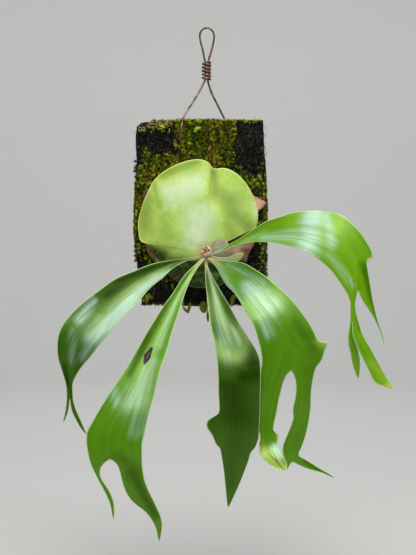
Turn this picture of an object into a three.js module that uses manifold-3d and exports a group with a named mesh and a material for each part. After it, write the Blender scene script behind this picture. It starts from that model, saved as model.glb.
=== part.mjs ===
// A young staghorn fern on its hanging slab.
//
// Millimetres, +Z up, front towards -Y. The back of the slab and the wall lie in the plane
// y = 0, and the origin is the inside top of the wire loop, where the hook or screw carries it.
import * as THREE from 'three';
import { mergeVertices } from 'three/addons/utils/BufferGeometryUtils.js';
import Module from 'manifold-3d';

// ---------------------------------------------------------------- driving dimensions
const GAP = 0.3; // clearance kept between neighbouring solids

const SLAB_DEPTH = 26;
const SLAB_BARK = 1.4; // height of the fibre ridges on the slab's front
const FIBRE_WAVE = 0.55; // radians of ridge for each millimetre across the slab
const FIBRE_WANDER = 0.06; // radians for each millimetre down it, by which the ridges wander
const COARSE_WAVE = { x: 0.23, z: 0.05 };
const LUMP_WAVE = { x: 0.07, z: 0.11 };
const MOUND_MARGIN = { flat: 2, rise: 9 }; // flat round the mound, then rising into the ridges
const SLAB_COLUMNS = 16;
const SLAB_ROWS = 22;
const SLAB_CENTRE = { x: -6, z: -207 };
const SLAB_SIDE_ROUGHNESS = 1.2;
const SLAB_SIDE_SHARES = [0.66, 0.33, 0]; // of the depth, where the sides have their corners
const SLAB_SIDE_WAVE = 1.7; // turn of the roughness from one corner of the outline to the next
const SLAB_SIDE_SHIFT = 9; // turn of the roughness from the front to the back
const SLAB_BACK_INSET = 1.5; // the slab's edges are rubbed away where they meet the wall
// Edges of the slab as [x, z], the left and right ones from top to bottom,
// the top and bottom ones from left to right. The top left corner is broken away.
const SLAB_LEFT = [[-70, -109.5], [-75, -115], [-76.5, -128], [-75, -155], [-77, -194],
  [-78, -221], [-76, -249], [-73, -276], [-70, -307]];
const SLAB_RIGHT = [[61, -107], [62, -139], [64, -172], [65, -216], [63, -260], [62, -293],
  [61, -305]];
const SLAB_TOP = [[-70, -109.5], [-40, -107], [-7, -106], [26, -107], [61, -107]];
const SLAB_BOTTOM = [[-70, -307], [-45, -305], [-18, -307], [10, -308], [37, -306], [61, -305]];

const MOUND = { x: -6, z: -238, radius: 44, height: 12.5, rings: 4, sides: 22 };

const CROWN = { x: -0.4, z: -252 }; // axis of the crown, which points to the front
const CROWN_SIDES = 14;
// Rings of the crown as [radius, y].
const CROWN_PROFILE = [[5.6, -44], [5, -50], [5.6, -54], [6.4, -57], [5.8, -61], [3.8, -64]];
const CROWN_BASE_RADIUS = 6.4;
const CROWN_TIP = -65.2;
const SCALE_LENGTH = 5.5;
const SCALE_RADIUS = 1.5;
const SCALE_SIDES = 5;
const SCALE_RINGS = [{ count: 9, radius: 5.2, y: -58, tilt: 0.5 },
  { count: 7, radius: 3.4, y: -60.5, tilt: 0.3 }, { count: 4, radius: 1.6, y: -62, tilt: 0.12 }];
const STALK_SIDE = -0.35; // the outer scales stop where the stalks leave, below this sine

const SHIELD_THICKNESS = 0.9;
const SHIELD_RINGS = 7;
const SHIELD_DEPTH = -49; // y of the green shield beside the crown
const OLD_SHIELD_DEPTH = -42;
const DOME_POWER = 2.2; // how late the shields fall away towards their rims
const CROWN_OPENING = 6; // radius that the shields leave open round the crown
// Rims as [x, y, z], counter-clockwise from the upper side of the cleft right of the crown.
const SHIELD_RIM = [[54, -38, -225], [56, -37.5, -216], [56, -37, -207], [54, -36.5, -198],
  [50, -36, -188], [44, -36, -177], [36, -36, -168], [26, -36, -161], [17, -35, -159],
  [8, -33.5, -160], [2, -34.5, -153], [-7, -36, -150], [-18, -36.5, -151], [-28, -37, -154],
  [-39, -37, -159], [-50, -37, -166], [-58, -37, -174], [-63, -37.5, -184], [-68, -38, -195],
  [-71, -38.5, -205], [-74, -39, -216], [-74, -40.5, -227], [-71.5, -45, -239.5],
  [-64.5, -46, -242.5], [-59, -40, -249], [-56, -37, -258], [-50, -36, -267], [-43, -35.5, -275],
  [-31, -35, -284], [-18, -34.5, -289], [-4, -34.5, -290.5], [9, -34.5, -289.5], [17, -35, -287],
  [22, -36.5, -280], [21, -39.5, -271]];
const OLD_SHIELD_RIM = [[44, -30.5, -263], [47, -31, -252], [53, -31, -241], [52, -31.5, -229],
  [52, -31.5, -216], [54, -31.5, -210], [59, -32, -205], [66, -33, -197], [57, -32, -192],
  [48, -31.5, -187], [42, -31.5, -179], [32, -31.5, -168], [17, -30.5, -163], [6, -30, -164],
  [-2, -30.5, -158], [-18, -31, -156], [-33, -31.5, -160], [-47, -32, -168], [-59, -32, -179],
  [-67, -32, -184], [-70, -32, -191], [-66, -32, -200], [-69, -32, -216], [-70, -32, -229],
  [-67, -32.5, -241], [-65, -32.5, -251], [-59, -32, -259], [-53, -31, -265], [-44, -30.5, -272],
  [-31, -30, -280], [-18, -30, -285], [-1, -30, -286], [12, -30, -283], [24, -30, -277],
  [35, -30, -271]];
const YOUNG_SHIELD = { x: 14.5, z: -247.5, radius: 10.7, rim: -51, front: -53.2, thickness: 1 };
const YOUNG_SHIELD_RINGS = [0, 0.35, 0.65, 0.88, 1]; // shares of its radius
const YOUNG_SHIELD_SIDES = 18;

const WIRE_RADIUS = 1.1;
const WIRE_SIDES = 8;
const WIRE_STEPS = 96;
const CHANNEL_CLEARANCE = 0.35; // between the wire and the channel it has cut in the slab
const WIRE_ENDS_APART = 0.4; // the two ends of the wire meet inside the binding
const BINDING_TURNS = 5;
const BINDING_TOP = -38;
const BINDING_PITCH = 3.87;
const BINDING_STEPS_PER_TURN = 12;
const STRAND_OFFSET = 1.35; // of each strand from the middle of the binding
const BINDING_CLEARANCE = 0.45;
const HANG_DEPTH = -9; // y of the wire at the binding

const BLADE_THICKNESS = 0.9;
const STALK_THICKNESS = 2;
const STALK_ROWS = 7; // rows over which a stalk thins into its blade
const ROW_PITCH = 9; // length of blade between two rows
const STEADY_REACH = 9; // length to either side over which a row takes its direction
const FADE_LENGTH = 24; // of a lobe, over which its own cross-section takes over

// Each row of a frond is [left x, left z, right x, right z, depth, lean, arch] : both margins
// seen from the front with the stalk at the top, the y of the middle, how much further back
// the right margin lies than the left one, and how far the middle stands out to the front.
// A fork gives the share of the last row's width that its left lobe takes, and the columns.
const FROND_LEFT = {
  columns: 4,
  rows: [
    [-3.5, -255, -3.5, -258, -56.5, 0, -0.3], [-8, -256.5, -8, -259.5, -59.5, 0, -0.4],
    [-17.5, -257.5, -17.5, -261, -66, 0, -0.6], [-27.5, -259.5, -24.5, -263.5, -75, -1, -0.9],
    [-39.5, -261.5, -34.5, -269.5, -84, -3, -1.5], [-53.5, -264.5, -43, -278, -93, -6, -2.5],
    [-71.5, -271.5, -56.5, -289.5, -103, -9, -3.5], [-91, -279.5, -68, -304, -113, -12, -4.5],
    [-108, -292, -82.5, -319, -121, -14, -4.5], [-123, -304, -94.5, -334.5, -128, -14, -3.5],
    [-135, -316.5, -104, -345.5, -133, -11, -2], [-142, -328.5, -112.5, -357, -137, -7, -0.5],
    [-145, -340.5, -118, -363, -139, -4, -1.5], [-145, -353, -123, -369.5, -139, -2, -2.5],
    [-141.5, -366, -127, -376, -138, -1, -2], [-138, -377.5, -129.5, -381.5, -137, 0, -1],
    [-136, -387, -130, -386.5, -136, 0, -0.6], [-136, -397.5, -129.5, -397.5, -135, 0, -0.4]],
  fork: {
    share: 0.5,
    left: { columns: 2, rows: [[-137, -406, -134, -407, -134, 0, -0.2],
      [-138.5, -413.5, -136.5, -414.5, -132, 0, -0.2], [-140.5, -420, -139, -420.5, -130, 0, 0]] },
    right: { columns: 2, rows: [[-131.5, -407, -127, -406, -136, -2, -0.3],
      [-127, -416.5, -123, -414, -138, -3, -0.3], [-122, -425, -119, -423, -139, -2, -0.2],
      [-117, -431, -116, -429.5, -139, -1, 0]] },
  },
};
const FROND_LOWER_LEFT = {
  columns: 5,
  rows: [
    [-3, -257, -0.5, -259, -62.5, 0, -0.3], [-12, -265, -7, -267, -69, 0, -0.8],
    [-17, -269.5, -11.5, -273.5, -74, 0, -1.2], [-25, -279.5, -17, -283, -81, 0, -1.6],
    [-34.5, -295, -22.5, -297, -90, 0, -2.2], [-45, -309.5, -27, -313, -100, 0, -2.8],
    [-56.5, -328.5, -33, -330.5, -112, 0, -3.2], [-69, -351, -38.5, -351.5, -125, 0, -3.2],
    [-82, -373.5, -45.5, -372.5, -138, 0, -2.5], [-93.5, -391, -50, -392.5, -148, -1, -1.5],
    [-103.5, -407, -54, -407.5, -155, -3, 0], [-110, -419, -56.5, -419, -159, -4, 1],
    [-113.5, -425.5, -58, -427.5, -161, -4, 1.5], [-113.5, -433.5, -60, -434.5, -162, -3, 2],
    [-112, -442.5, -60, -443, -163, -2, 2], [-110.5, -449.5, -60, -450, -163, -1, 2]],
  fork: {
    share: 0.4,
    left: { columns: 2, rows: [[-109.5, -452.5, -95.5, -453, -163, 0, 0.6],
      [-108, -457, -99, -457, -162.5, 0, 0.3], [-105.5, -462.5, -100.5, -463, -162, 0, 0],
      [-103, -467.5, -100, -467.5, -161, 0, 0], [-101, -472, -97, -472.5, -160, 0, -0.3],
      [-98, -478, -92.5, -479.5, -159, 1, -0.6], [-94, -487, -89, -488, -157, 1, -0.6],
      [-91, -496, -87.5, -495.5, -155, 0, -0.4], [-90, -503, -87.5, -503, -153, 0, -0.2],
      [-89, -510, -88, -510, -151, 0, 0]] },
    right: { columns: 3, rows: [[-85.5, -452.5, -60, -454.5, -163, 0, 1.5],
      [-82.5, -457.5, -59.5, -460, -163, 0, 1.2], [-81, -464, -58.5, -467.5, -162, 0, 1],
      [-79, -473, -56, -476, -161, 0, 1], [-76, -482, -52.5, -484.5, -159, 1, 1.5],
      [-72, -489, -49, -492, -157, 2, 2], [-65.5, -495.5, -46, -500, -155, 3, 1.5],
      [-58, -501.5, -43.5, -506.5, -153, 3, 1], [-52, -510, -42, -514.5, -151, 2, 0.6],
      [-48, -518.5, -42.5, -521, -150, 1, 0.3], [-46.5, -526.5, -43.5, -527, -149, 0, 0],
      [-45.5, -532, -44.5, -532, -149, 0, 0]] },
  },
};
const FROND_CENTRE = {
  columns: 5,
  rows: [
    [-2, -256, 0.5, -256, -56.5, 0, -0.3], [-2.5, -261.5, 1, -261.5, -59.5, 0, -0.5],
    [-2, -267, 2, -267, -64.5, 0, -0.7], [-1.5, -277, 6.5, -277.5, -75, 0, -1.2],
    [0, -292, 15, -293, -90, 0, -2.2], [1.5, -308, 24, -308.5, -102, 0, -3],
    [3.5, -324, 32.5, -324, -114, 0, -3.4], [6.5, -338.5, 42, -339, -126, -1, -3.2],
    [9, -351.5, 49, -350, -136, -2, -2.4], [10.5, -361.5, 52, -357.5, -142.5, -3, -1.2],
    [11, -369, 52.5, -364.5, -145.5, -3, 0], [11.5, -375.5, 52.5, -372.5, -146.5, -3, 0.6],
    [11.5, -387, 52.5, -385, -147, -2, 1], [12, -397.5, 52, -396.5, -147, -2, 1],
    [12.5, -406.5, 52, -405.5, -147, -2, 1], [11.5, -410.5, 52, -409.5, -147, -2, 1],
    [5.5, -413, 51.5, -412.5, -147, -2, 1], [0.5, -416, 51.5, -415.5, -147, -2, 1],
    [-1, -420.5, 51.5, -420, -147, -2, 1], [1.5, -425.5, 51, -425, -147, -2, 1],
    [5.5, -430, 51, -429.5, -147, -2, 1], [7.5, -436, 50, -435.5, -146.5, -2, 1],
    [9.5, -440.5, 48.5, -439.5, -146.5, -1, 1], [13, -442, 47.5, -442, -146, -1, 1],
    [14, -447.5, 42.5, -447.5, -146, 0, 1], [15, -454.5, 41, -454.5, -145.5, 0, 1],
    [16.5, -462.5, 38, -462.5, -145, 0, 0.8], [17.5, -472, 34.5, -472, -144, 0, 0.6],
    [18.5, -482, 30.5, -482, -143, 0, 0.4], [19.5, -492, 26, -492, -142, 0, 0.2],
    [20.5, -501, 22, -501, -141, 0, 0]],
};
const FROND_LOWER_RIGHT = {
  columns: 6,
  rows: [
    [0, -259, 3, -257, -62, 0, -0.3], [5, -263.5, 10, -259.5, -70, 1, -0.8],
    [10, -269.5, 18.5, -260.5, -78.5, 2, -1.4], [14.5, -277, 28.5, -262, -88, 3, -2.2],
    [20, -286.5, 38.5, -264.5, -98, 4, -3], [27, -293.5, 50, -271.5, -108, 6, -3],
    [32.5, -301.5, 61.5, -279.5, -117.5, 8, -2.4], [38.5, -313, 74, -290.5, -126, 9, -1.4],
    [44, -322, 85, -302, -132, 9, 0], [48, -332, 95.5, -316, -136, 8, 1],
    [50.5, -341.5, 103, -328, -138.5, 6, 1.6], [52.5, -349, 107, -337, -140, 5, 2],
    [53, -353.5, 108, -340, -140.5, 4, 2], [53.5, -356.5, 112, -341, -141, 4, 2],
    [53.5, -359, 118.5, -341, -141.3, 4, 2], [53.5, -361, 117.5, -344.5, -141.6, 4, 2],
    [53, -363.5, 115, -348.5, -142, 4, 2], [52.5, -366.5, 113.5, -355, -142.3, 3, 2],
    [52, -369.5, 111.5, -360.5, -142.6, 3, 1.8], [52, -373, 106.5, -364.5, -143, 3, 1.6]],
  fork: {
    share: 0.54,
    left: { columns: 3, rows: [[52, -376.5, 77, -373.5, -143, 2, 1],
      [51.5, -381.5, 74.5, -380, -143, 2, 0.8], [51, -389, 72.5, -387.5, -143.5, 1, 0.8],
      [51, -398, 70, -397, -144, 0, 0.8], [50, -409.5, 68, -408.5, -144, 0, 0.8],
      [49.5, -420, 65, -421, -144.5, 0, 0.6], [50.5, -426, 64, -426.5, -145, 0, 0.6],
      [51.5, -429, 70, -429.5, -145.5, 1, 0.6], [51.5, -433, 69.5, -433, -146.5, 1, 0.3],
      [51, -437.5, 68, -436, -148.5, 1, -0.4], [50, -444, 70, -442, -153, 0, -1.4],
      [53, -450, 73, -447.5, -159, 0, -1.8], [58.5, -454, 75, -452, -165, 0, -1.4],
      [65, -457, 76, -455.5, -170, 0, -0.6], [70.5, -458.5, 74.5, -458, -173, 0, 0]] },
    right: {
      columns: 3,
      rows: [[84, -372.5, 104.5, -371, -143, 2, 0.8], [86, -378.5, 103, -378, -143, 1, 0.6],
        [86.5, -386.5, 101.5, -387.5, -143, 1, 0.5], [85.5, -395.5, 101, -397.5, -143, 1, 0.5],
        [83.5, -403.5, 101, -405.5, -142.5, 1, 0.5], [83, -408.5, 100, -410.5, -142.5, 1, 0.5],
        [84, -413, 99.5, -415.5, -142.5, 1, 0.5], [82, -420.5, 98, -423.5, -142, 1, 0.5],
        [78.5, -430, 95.5, -434, -141, 0, 0.5], [75, -439, 92, -444.5, -140, 0, 0.4],
        [73.5, -446.5, 89.5, -449.5, -139.5, 0, 0.3], [74.5, -453, 90, -452, -139, 0, 0.3],
        [76, -460, 94, -454, -138.5, 0, 0.3]],
      fork: {
        share: 0.4,
        left: { columns: 1, rows: [[76.5, -462.5, 81, -461, -138, 0, 0.1],
          [78, -465.5, 79, -465, -138, 0, 0]] },
        right: { columns: 2, rows: [[88, -460, 99, -457, -138.5, 0, -0.3],
          [94.5, -463, 105.5, -461, -139, 0, -0.5], [100.5, -465, 111, -464.5, -140, 0, -0.5],
          [107, -466.5, 115, -466.5, -141, 0, -0.4], [113.5, -468, 119, -468.5, -142, 0, -0.2],
          [122.5, -473, 123.5, -472, -143, 0, 0]] },
      },
    },
  },
};
const FROND_RIGHT = {
  columns: 5,
  rows: [
    [3.5, -256.5, 1.5, -254, -58.5, 0, -0.3], [11, -254, 9.5, -252, -63, 0, -0.4],
    [19, -251, 17, -248.5, -68, 1, -0.5], [27, -247, 25.5, -243, -73.5, 2, -0.9],
    [35, -245, 33.5, -239, -79, 3, -1.4], [43, -243, 42, -233, -84.5, 5, -2.2],
    [51.5, -242.5, 51, -227.5, -90, 8, -3], [62.5, -243.5, 62, -221, -97, 12, -3.2],
    [74.5, -245.5, 77, -216.5, -104, 16, -2.4], [86, -249, 93, -212, -110, 20, -1],
    [96, -253.5, 108.5, -211.5, -115.5, 21, 1], [106.5, -259.5, 122.5, -213, -121, 18, 2.5],
    [115, -266, 133.5, -216.5, -126, 14, 3], [122.5, -273.5, 143.5, -225, -130, 10, 3],
    [128, -281.5, 151.5, -234.5, -133, 7, 2.6], [131, -286, 157.5, -244.5, -135, 5, 2.2],
    [132, -288, 161.5, -252.5, -136, 4, 2], [133, -289.5, 164.5, -260, -136.5, 4, 2],
    [134, -290.5, 160, -260, -137, 4, 2], [134.5, -292, 156.5, -260, -137.5, 3, 1.8],
    [135.5, -293, 156, -264, -137.5, 3, 1.7], [136.5, -294.5, 157, -270.5, -138, 2, 1.5],
    [137, -296, 158, -277.5, -138.5, 2, 1.3], [137.5, -297.5, 159, -284.5, -139, 1, 1.1]],
  fork: {
    share: 0.43,
    left: {
      columns: 3,
      rows: [[138.5, -300.5, 146, -296, -139, 1, 0.5], [139.5, -303.5, 144.5, -302, -139, 2, 0.3],
        [139.5, -307.5, 144, -306.5, -138.5, 3, 0.2], [139.5, -312.5, 145, -311.5, -138, 3, 0.2],
        [139.5, -317.5, 146.5, -317, -137.5, 2, 0.3], [139.5, -322, 148.5, -323.5, -137, 2, 0.3]],
      fork: {
        share: 0.25,
        left: { columns: 1, rows: [[139, -328, 142.5, -329, -135.5, 1, 0.2],
          [138, -337, 145, -338, -134, 1, 0.3], [138.5, -345, 147.5, -346.5, -133, 1, 0.4],
          [140.5, -352.5, 149, -353, -132.5, 0, 0.4], [141.5, -359.5, 150.5, -360, -132, 0, 0.4],
          [143.5, -366.5, 150.5, -367.5, -131.5, 0, 0.3], [146, -373, 150, -374, -131, 0, 0.1],
          [148, -378, 149.5, -378, -131, 0, 0]] },
        right: { columns: 2, rows: [[141, -330, 150.5, -331, -138.5, 1, 0.3],
          [142.5, -338, 153.5, -338, -139.5, 1, 0.5], [145.5, -346, 157.5, -344.5, -140, 1, 0.6],
          [148.5, -353, 161.5, -351.5, -140.5, 1, 0.6], [152, -359.5, 165.5, -359.5, -141, 1, 0.6],
          [155.5, -366.5, 169, -366, -141.5, 0, 0.5], [158.5, -373, 172.5, -372.5, -142.5, 0, 0.3],
          [160.5, -378.5, 175.5, -378, -144, 0, 0], [164.5, -382, 177.5, -380.5, -145, 0, -0.3],
          [170, -383, 179, -383, -146, 0, -0.3], [175, -386, 180.5, -385.5, -147.5, 0, 0]] },
      },
    },
    right: { columns: 2, rows: [[149, -297, 160, -291, -139, 1, 0.6],
      [152, -302.5, 161, -299, -139, 0, 0.5], [156, -308.5, 162.5, -305.5, -139, 0, 0.4],
      [159.5, -313.5, 164, -312, -139, 0, 0.3], [162.5, -318.5, 165.5, -318, -138.5, 0, 0.2],
      [165.5, -324.5, 167.5, -324.5, -138, 0, 0.1], [169, -332.5, 170.5, -332, -137.5, 0, 0],
      [173, -345.5, 174, -345.5, -137, 0, 0]] },
  },
};
const YOUNG_ANTLER = {
  columns: 2,
  rows: [
    [3.5, -258, 4, -255, -55, 0, -0.2], [14.5, -261, 14.5, -257.5, -55.5, 0, -0.3],
    [24, -262.5, 23.5, -257, -57, 0, -0.4], [30.5, -262.5, 31.5, -253.5, -59.5, 0, -0.4],
    [35, -261, 37.5, -252.5, -62, 0, -0.2], [38, -257, 39.5, -253.5, -63, 0, 0]],
};

// ---------------------------------------------------------------- curves through rows
const mix = (a, b, t) => a + (b - a) * t;
const clamp01 = (t) => Math.min(1, Math.max(0, t));
const smooth = (t) => clamp01(t) ** 2 * (3 - 2 * clamp01(t));

// Slopes of a curve through (t, v) that never swings past the given values.
function monotoneSlopes(t, v) {
  const last = t.length - 1;
  const rise = t.slice(1).map((_, i) => (v[i + 1] - v[i]) / (t[i + 1] - t[i]));
  const slopes = [rise[0]];
  for (let i = 1; i < last; i += 1) {
    const [a, b] = [rise[i - 1], rise[i]];
    slopes.push(a * b <= 0 ? 0 : (2 * a * b) / (a + b));
  }
  slopes.push(rise[last - 1]);
  return slopes;
}

// Returns rowAt(span, fraction), which gives the columns of `rows` between two rows.
function curveThrough(rows, t) {
  const channels = rows[0].map((_, c) => rows.map((row) => row[c]));
  const slopes = channels.map((values) => monotoneSlopes(t, values));
  return (span, s) => channels.map((values, c) => {
    const width = t[span + 1] - t[span];
    const [a, b] = [values[span], values[span + 1]];
    const [ma, mb] = [slopes[c][span] * width, slopes[c][span + 1] * width];
    const s2 = s * s;
    const s3 = s2 * s;
    return (2 * s3 - 3 * s2 + 1) * a + (s3 - 2 * s2 + s) * ma + (3 * s2 - 2 * s3) * b + (s3 - s2) * mb;
  });
}

// ---------------------------------------------------------------- thin sheets
// A sheet is a net of points and four-sided faces that is thickened into one closed body.
class Sheet {
  constructor() {
    this.points = [];
    this.halves = [];
    this.quads = [];
  }

  add(point, thickness) {
    this.halves.push(thickness / 2);
    return this.points.push(point) - 1;
  }

  // Joins two rows of point numbers with faces.
  join(upper, lower) {
    for (let c = 0; c + 1 < upper.length; c += 1) {
      this.quads.push([upper[c], lower[c], lower[c + 1], upper[c + 1]]);
    }
  }

  normals() {
    const normals = this.points.map(() => new THREE.Vector3());
    for (const [a, b, c, d] of this.quads) {
      const across = this.points[c].clone().sub(this.points[a]);
      const other = this.points[d].clone().sub(this.points[b]);
      const face = across.cross(other);
      for (const index of [a, b, c, d]) normals[index].add(face);
    }
    return normals.map((normal) => normal.normalize());
  }

  geometry() {
    const normals = this.normals();
    const offset = (point, i, side) => point.clone().addScaledVector(normals[i], side * this.halves[i]);
    const faceOf = (side) => this.points.map((point, i) => offset(point, i, side));
    const vertices = [...faceOf(1), ...faceOf(-1)];
    const back = this.points.length;
    const triangles = [];
    const edges = new Map();
    for (const [a, b, c, d] of this.quads) {
      triangles.push([a, b, c], [a, c, d]);
      triangles.push([back + c, back + b, back + a], [back + d, back + c, back + a]);
      for (const [from, to] of [[a, b], [b, c], [c, d], [d, a]]) {
        if (!edges.delete(`${to},${from}`)) edges.set(`${from},${to}`, [from, to]);
      }
    }
    for (const [from, to] of edges.values()) {
      triangles.push([to, from, back + from], [to, back + from, back + to]);
    }
    return indexed(vertices, triangles);
  }
}

function indexed(vertices, triangles) {
  const geometry = new THREE.BufferGeometry();
  const positions = vertices.flatMap((v) => [v.x, v.y, v.z]);
  geometry.setAttribute('position', new THREE.Float32BufferAttribute(positions, 3));
  geometry.setIndex(triangles.flat());
  return geometry;
}

// ---------------------------------------------------------------- fronds
// Places of a blade's columns across its width, so that one of them meets the fork.
function columnPlaces(blade) {
  const split = blade.fork ? blade.fork.left.columns : blade.columns;
  const share = blade.fork ? blade.fork.share : 1;
  return Array.from({ length: blade.columns + 1 }, (_, c) => (
    c <= split ? (share * c) / split : share + ((1 - share) * (c - split)) / (blade.columns - split)));
}

function margins([leftX, leftZ, rightX, rightZ, depth, lean]) {
  const left = new THREE.Vector3(leftX, depth - lean / 2, leftZ);
  const right = new THREE.Vector3(rightX, depth + lean / 2, rightZ);
  return [left, right];
}

// Points of one row, arched to the front by the row's last value.
function rowPoints(row, along, places) {
  const [left, right] = margins(row);
  const arch = row[6];
  const front = along.clone().cross(right.clone().sub(left)).normalize();
  return places.map((t) => left.clone().lerp(right, t).addScaledVector(front, arch * 4 * t * (1 - t)));
}

// Rows between the given ones, each with the direction that the blade takes there.
function denseRows(rows, pitch) {
  const middles = rows.map((row) => margins(row)).map(([l, r]) => l.clone().lerp(r, 0.5));
  const lengths = [0];
  for (let i = 1; i < rows.length; i += 1) {
    lengths.push(lengths[i - 1] + Math.max(0.5, middles[i].distanceTo(middles[i - 1])));
  }
  const rowAt = curveThrough(rows, lengths);
  const dense = [{ row: rows[0], length: 0 }];
  for (let span = 0; span + 1 < rows.length; span += 1) {
    const steps = Math.max(1, Math.round((lengths[span + 1] - lengths[span]) / pitch));
    for (let s = 1; s <= steps; s += 1) {
      const length = mix(lengths[span], lengths[span + 1], s / steps);
      dense.push({ row: rowAt(span, s / steps), length });
    }
  }
  const centres = dense.map(({ row }) => margins(row)).map(([l, r]) => l.clone().lerp(r, 0.5));
  const last = dense.length - 1;
  return dense.map((entry, i) => {
    const near = dense.map(({ length }) => Math.abs(length - entry.length) <= STEADY_REACH);
    const before = Math.max(0, Math.min(near.indexOf(true), i - 1));
    const after = Math.min(last, Math.max(near.lastIndexOf(true), i + 1));
    return { ...entry, along: centres[after].clone().sub(centres[before]) };
  });
}

// Adds a blade or lobe to the sheet. `seam` holds the point numbers that it grows on from.
function addBlade(sheet, blade, seam) {
  let { rows } = blade;
  if (seam) {
    const first = sheet.points[seam[0]];
    const last = sheet.points[seam[seam.length - 1]];
    const depth = (first.y + last.y) / 2;
    const arch = rows[0][6];
    rows = [[first.x, first.z, last.x, last.z, depth, last.y - first.y, arch], ...rows];
  }
  const places = columnPlaces(blade);
  const dense = denseRows(rows, ROW_PITCH);
  let upper = seam;
  let shifts = null;
  dense.forEach(({ row, along, length }, index) => {
    const points = rowPoints(row, along, places);
    if (index === 0 && seam) {
      shifts = points.map((point, c) => sheet.points[seam[c]].clone().sub(point));
      return;
    }
    if (shifts) {
      const share = 1 - smooth(length / FADE_LENGTH);
      points.forEach((point, c) => point.addScaledVector(shifts[c], share));
    }
    const thinned = seam ? 1 : smooth(index / STALK_ROWS);
    const thickness = mix(STALK_THICKNESS, BLADE_THICKNESS, thinned);
    const lower = points.map((point) => sheet.add(point, thickness));
    if (upper) sheet.join(upper, lower);
    upper = lower;
  });
  if (blade.fork) {
    const split = blade.fork.left.columns;
    addBlade(sheet, blade.fork.left, upper.slice(0, split + 1));
    addBlade(sheet, blade.fork.right, upper.slice(split));
  }
}

function frondGeometry(blade) {
  const sheet = new Sheet();
  addBlade(sheet, blade, null);
  return sheet.geometry();
}

// ---------------------------------------------------------------- shields
// A dished plate that spreads from the crown to its rim and is open at its cleft.
function shieldGeometry(rim, centreDepth) {
  const sheet = new Sheet();
  const centre = new THREE.Vector3(CROWN.x, 0, CROWN.z);
  const spokes = rim.map(([x, y, z]) => {
    const reach = Math.hypot(x - centre.x, z - centre.z);
    const start = CROWN_OPENING / reach;
    return Array.from({ length: SHIELD_RINGS + 1 }, (_, ring) => {
      const s = mix(start, 1, ring / SHIELD_RINGS);
      const depth = mix(centreDepth, y, s ** DOME_POWER);
      const point = new THREE.Vector3(mix(centre.x, x, s), depth, mix(centre.z, z, s));
      return sheet.add(point, SHIELD_THICKNESS);
    });
  });
  for (let i = 0; i + 1 < spokes.length; i += 1) sheet.join(spokes[i], spokes[i + 1]);
  return sheet.geometry();
}

function youngShieldGeometry() {
  const { radius, rim, front, thickness } = YOUNG_SHIELD;
  const face = YOUNG_SHIELD_RINGS.map((s) => new THREE.Vector2(radius * s, mix(front, rim, s * s)));
  const back = [...face].reverse().map((p) => new THREE.Vector2(p.x, p.y + thickness));
  return new THREE.LatheGeometry([...face, ...back], YOUNG_SHIELD_SIDES);
}

// ---------------------------------------------------------------- crown
// The short stem and its bud, larger all round by `grow`.
function crownCore(grow) {
  const base = -SLAB_DEPTH - GAP - MOUND.height - GAP + grow;
  const profile = [[0, CROWN_TIP - grow], ...CROWN_PROFILE.map(([r, y]) => [r + grow, y]).reverse(),
    [CROWN_BASE_RADIUS + grow, base], [0, base]];
  const points = profile.map(([r, y]) => new THREE.Vector2(r, y));
  return new THREE.LatheGeometry(points, CROWN_SIDES).translate(CROWN.x, 0, CROWN.z);
}

// Narrow scales that wrap the crown, in rings towards its tip.
function crownScales() {
  const scales = [];
  SCALE_RINGS.forEach(({ count, radius, y, tilt }, ring) => {
    for (let i = 0; i < count; i += 1) {
      const angle = ((i + ring / 2) / count) * 2 * Math.PI;
      if (ring === 0 && Math.sin(angle) < STALK_SIDE) continue;
      const scale = new THREE.ConeGeometry(SCALE_RADIUS, SCALE_LENGTH, SCALE_SIDES);
      scale.rotateX(Math.PI).rotateZ(tilt).translate(radius, y - SCALE_LENGTH / 2, 0).rotateY(-angle);
      scales.push(scale.translate(CROWN.x, 0, CROWN.z));
    }
  });
  return scales;
}

// ---------------------------------------------------------------- slab and root mound
// The edge through `points`, found from its share of the way along coordinate `axis`.
function edgeCurve(points, axis) {
  const first = points[0][axis];
  const t = points.map((point) => (point[axis] - first) / (points[points.length - 1][axis] - first));
  const at = curveThrough(points, t);
  return (u) => {
    const span = Math.max(0, Math.min(points.length - 2, t.findIndex((end) => end >= u) - 1));
    return at(span, (u - t[span]) / (t[span + 1] - t[span]));
  };
}

// Height of the coarse vertical fibres, flat under the root mound.
function barkHeight(x, z) {
  const fine = Math.sin(x * FIBRE_WAVE + Math.sin(z * FIBRE_WANDER) * 2) / 2;
  const coarse = Math.sin(x * COARSE_WAVE.x + z * COARSE_WAVE.z) / 2;
  const lumps = Math.sin(x * LUMP_WAVE.x + z * LUMP_WAVE.z) / 2;
  const reach = Math.hypot(x - MOUND.x, z - MOUND.z) - MOUND.radius - MOUND_MARGIN.flat;
  return SLAB_BARK * smooth(reach / MOUND_MARGIN.rise) * (fine + coarse + lumps);
}

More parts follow.
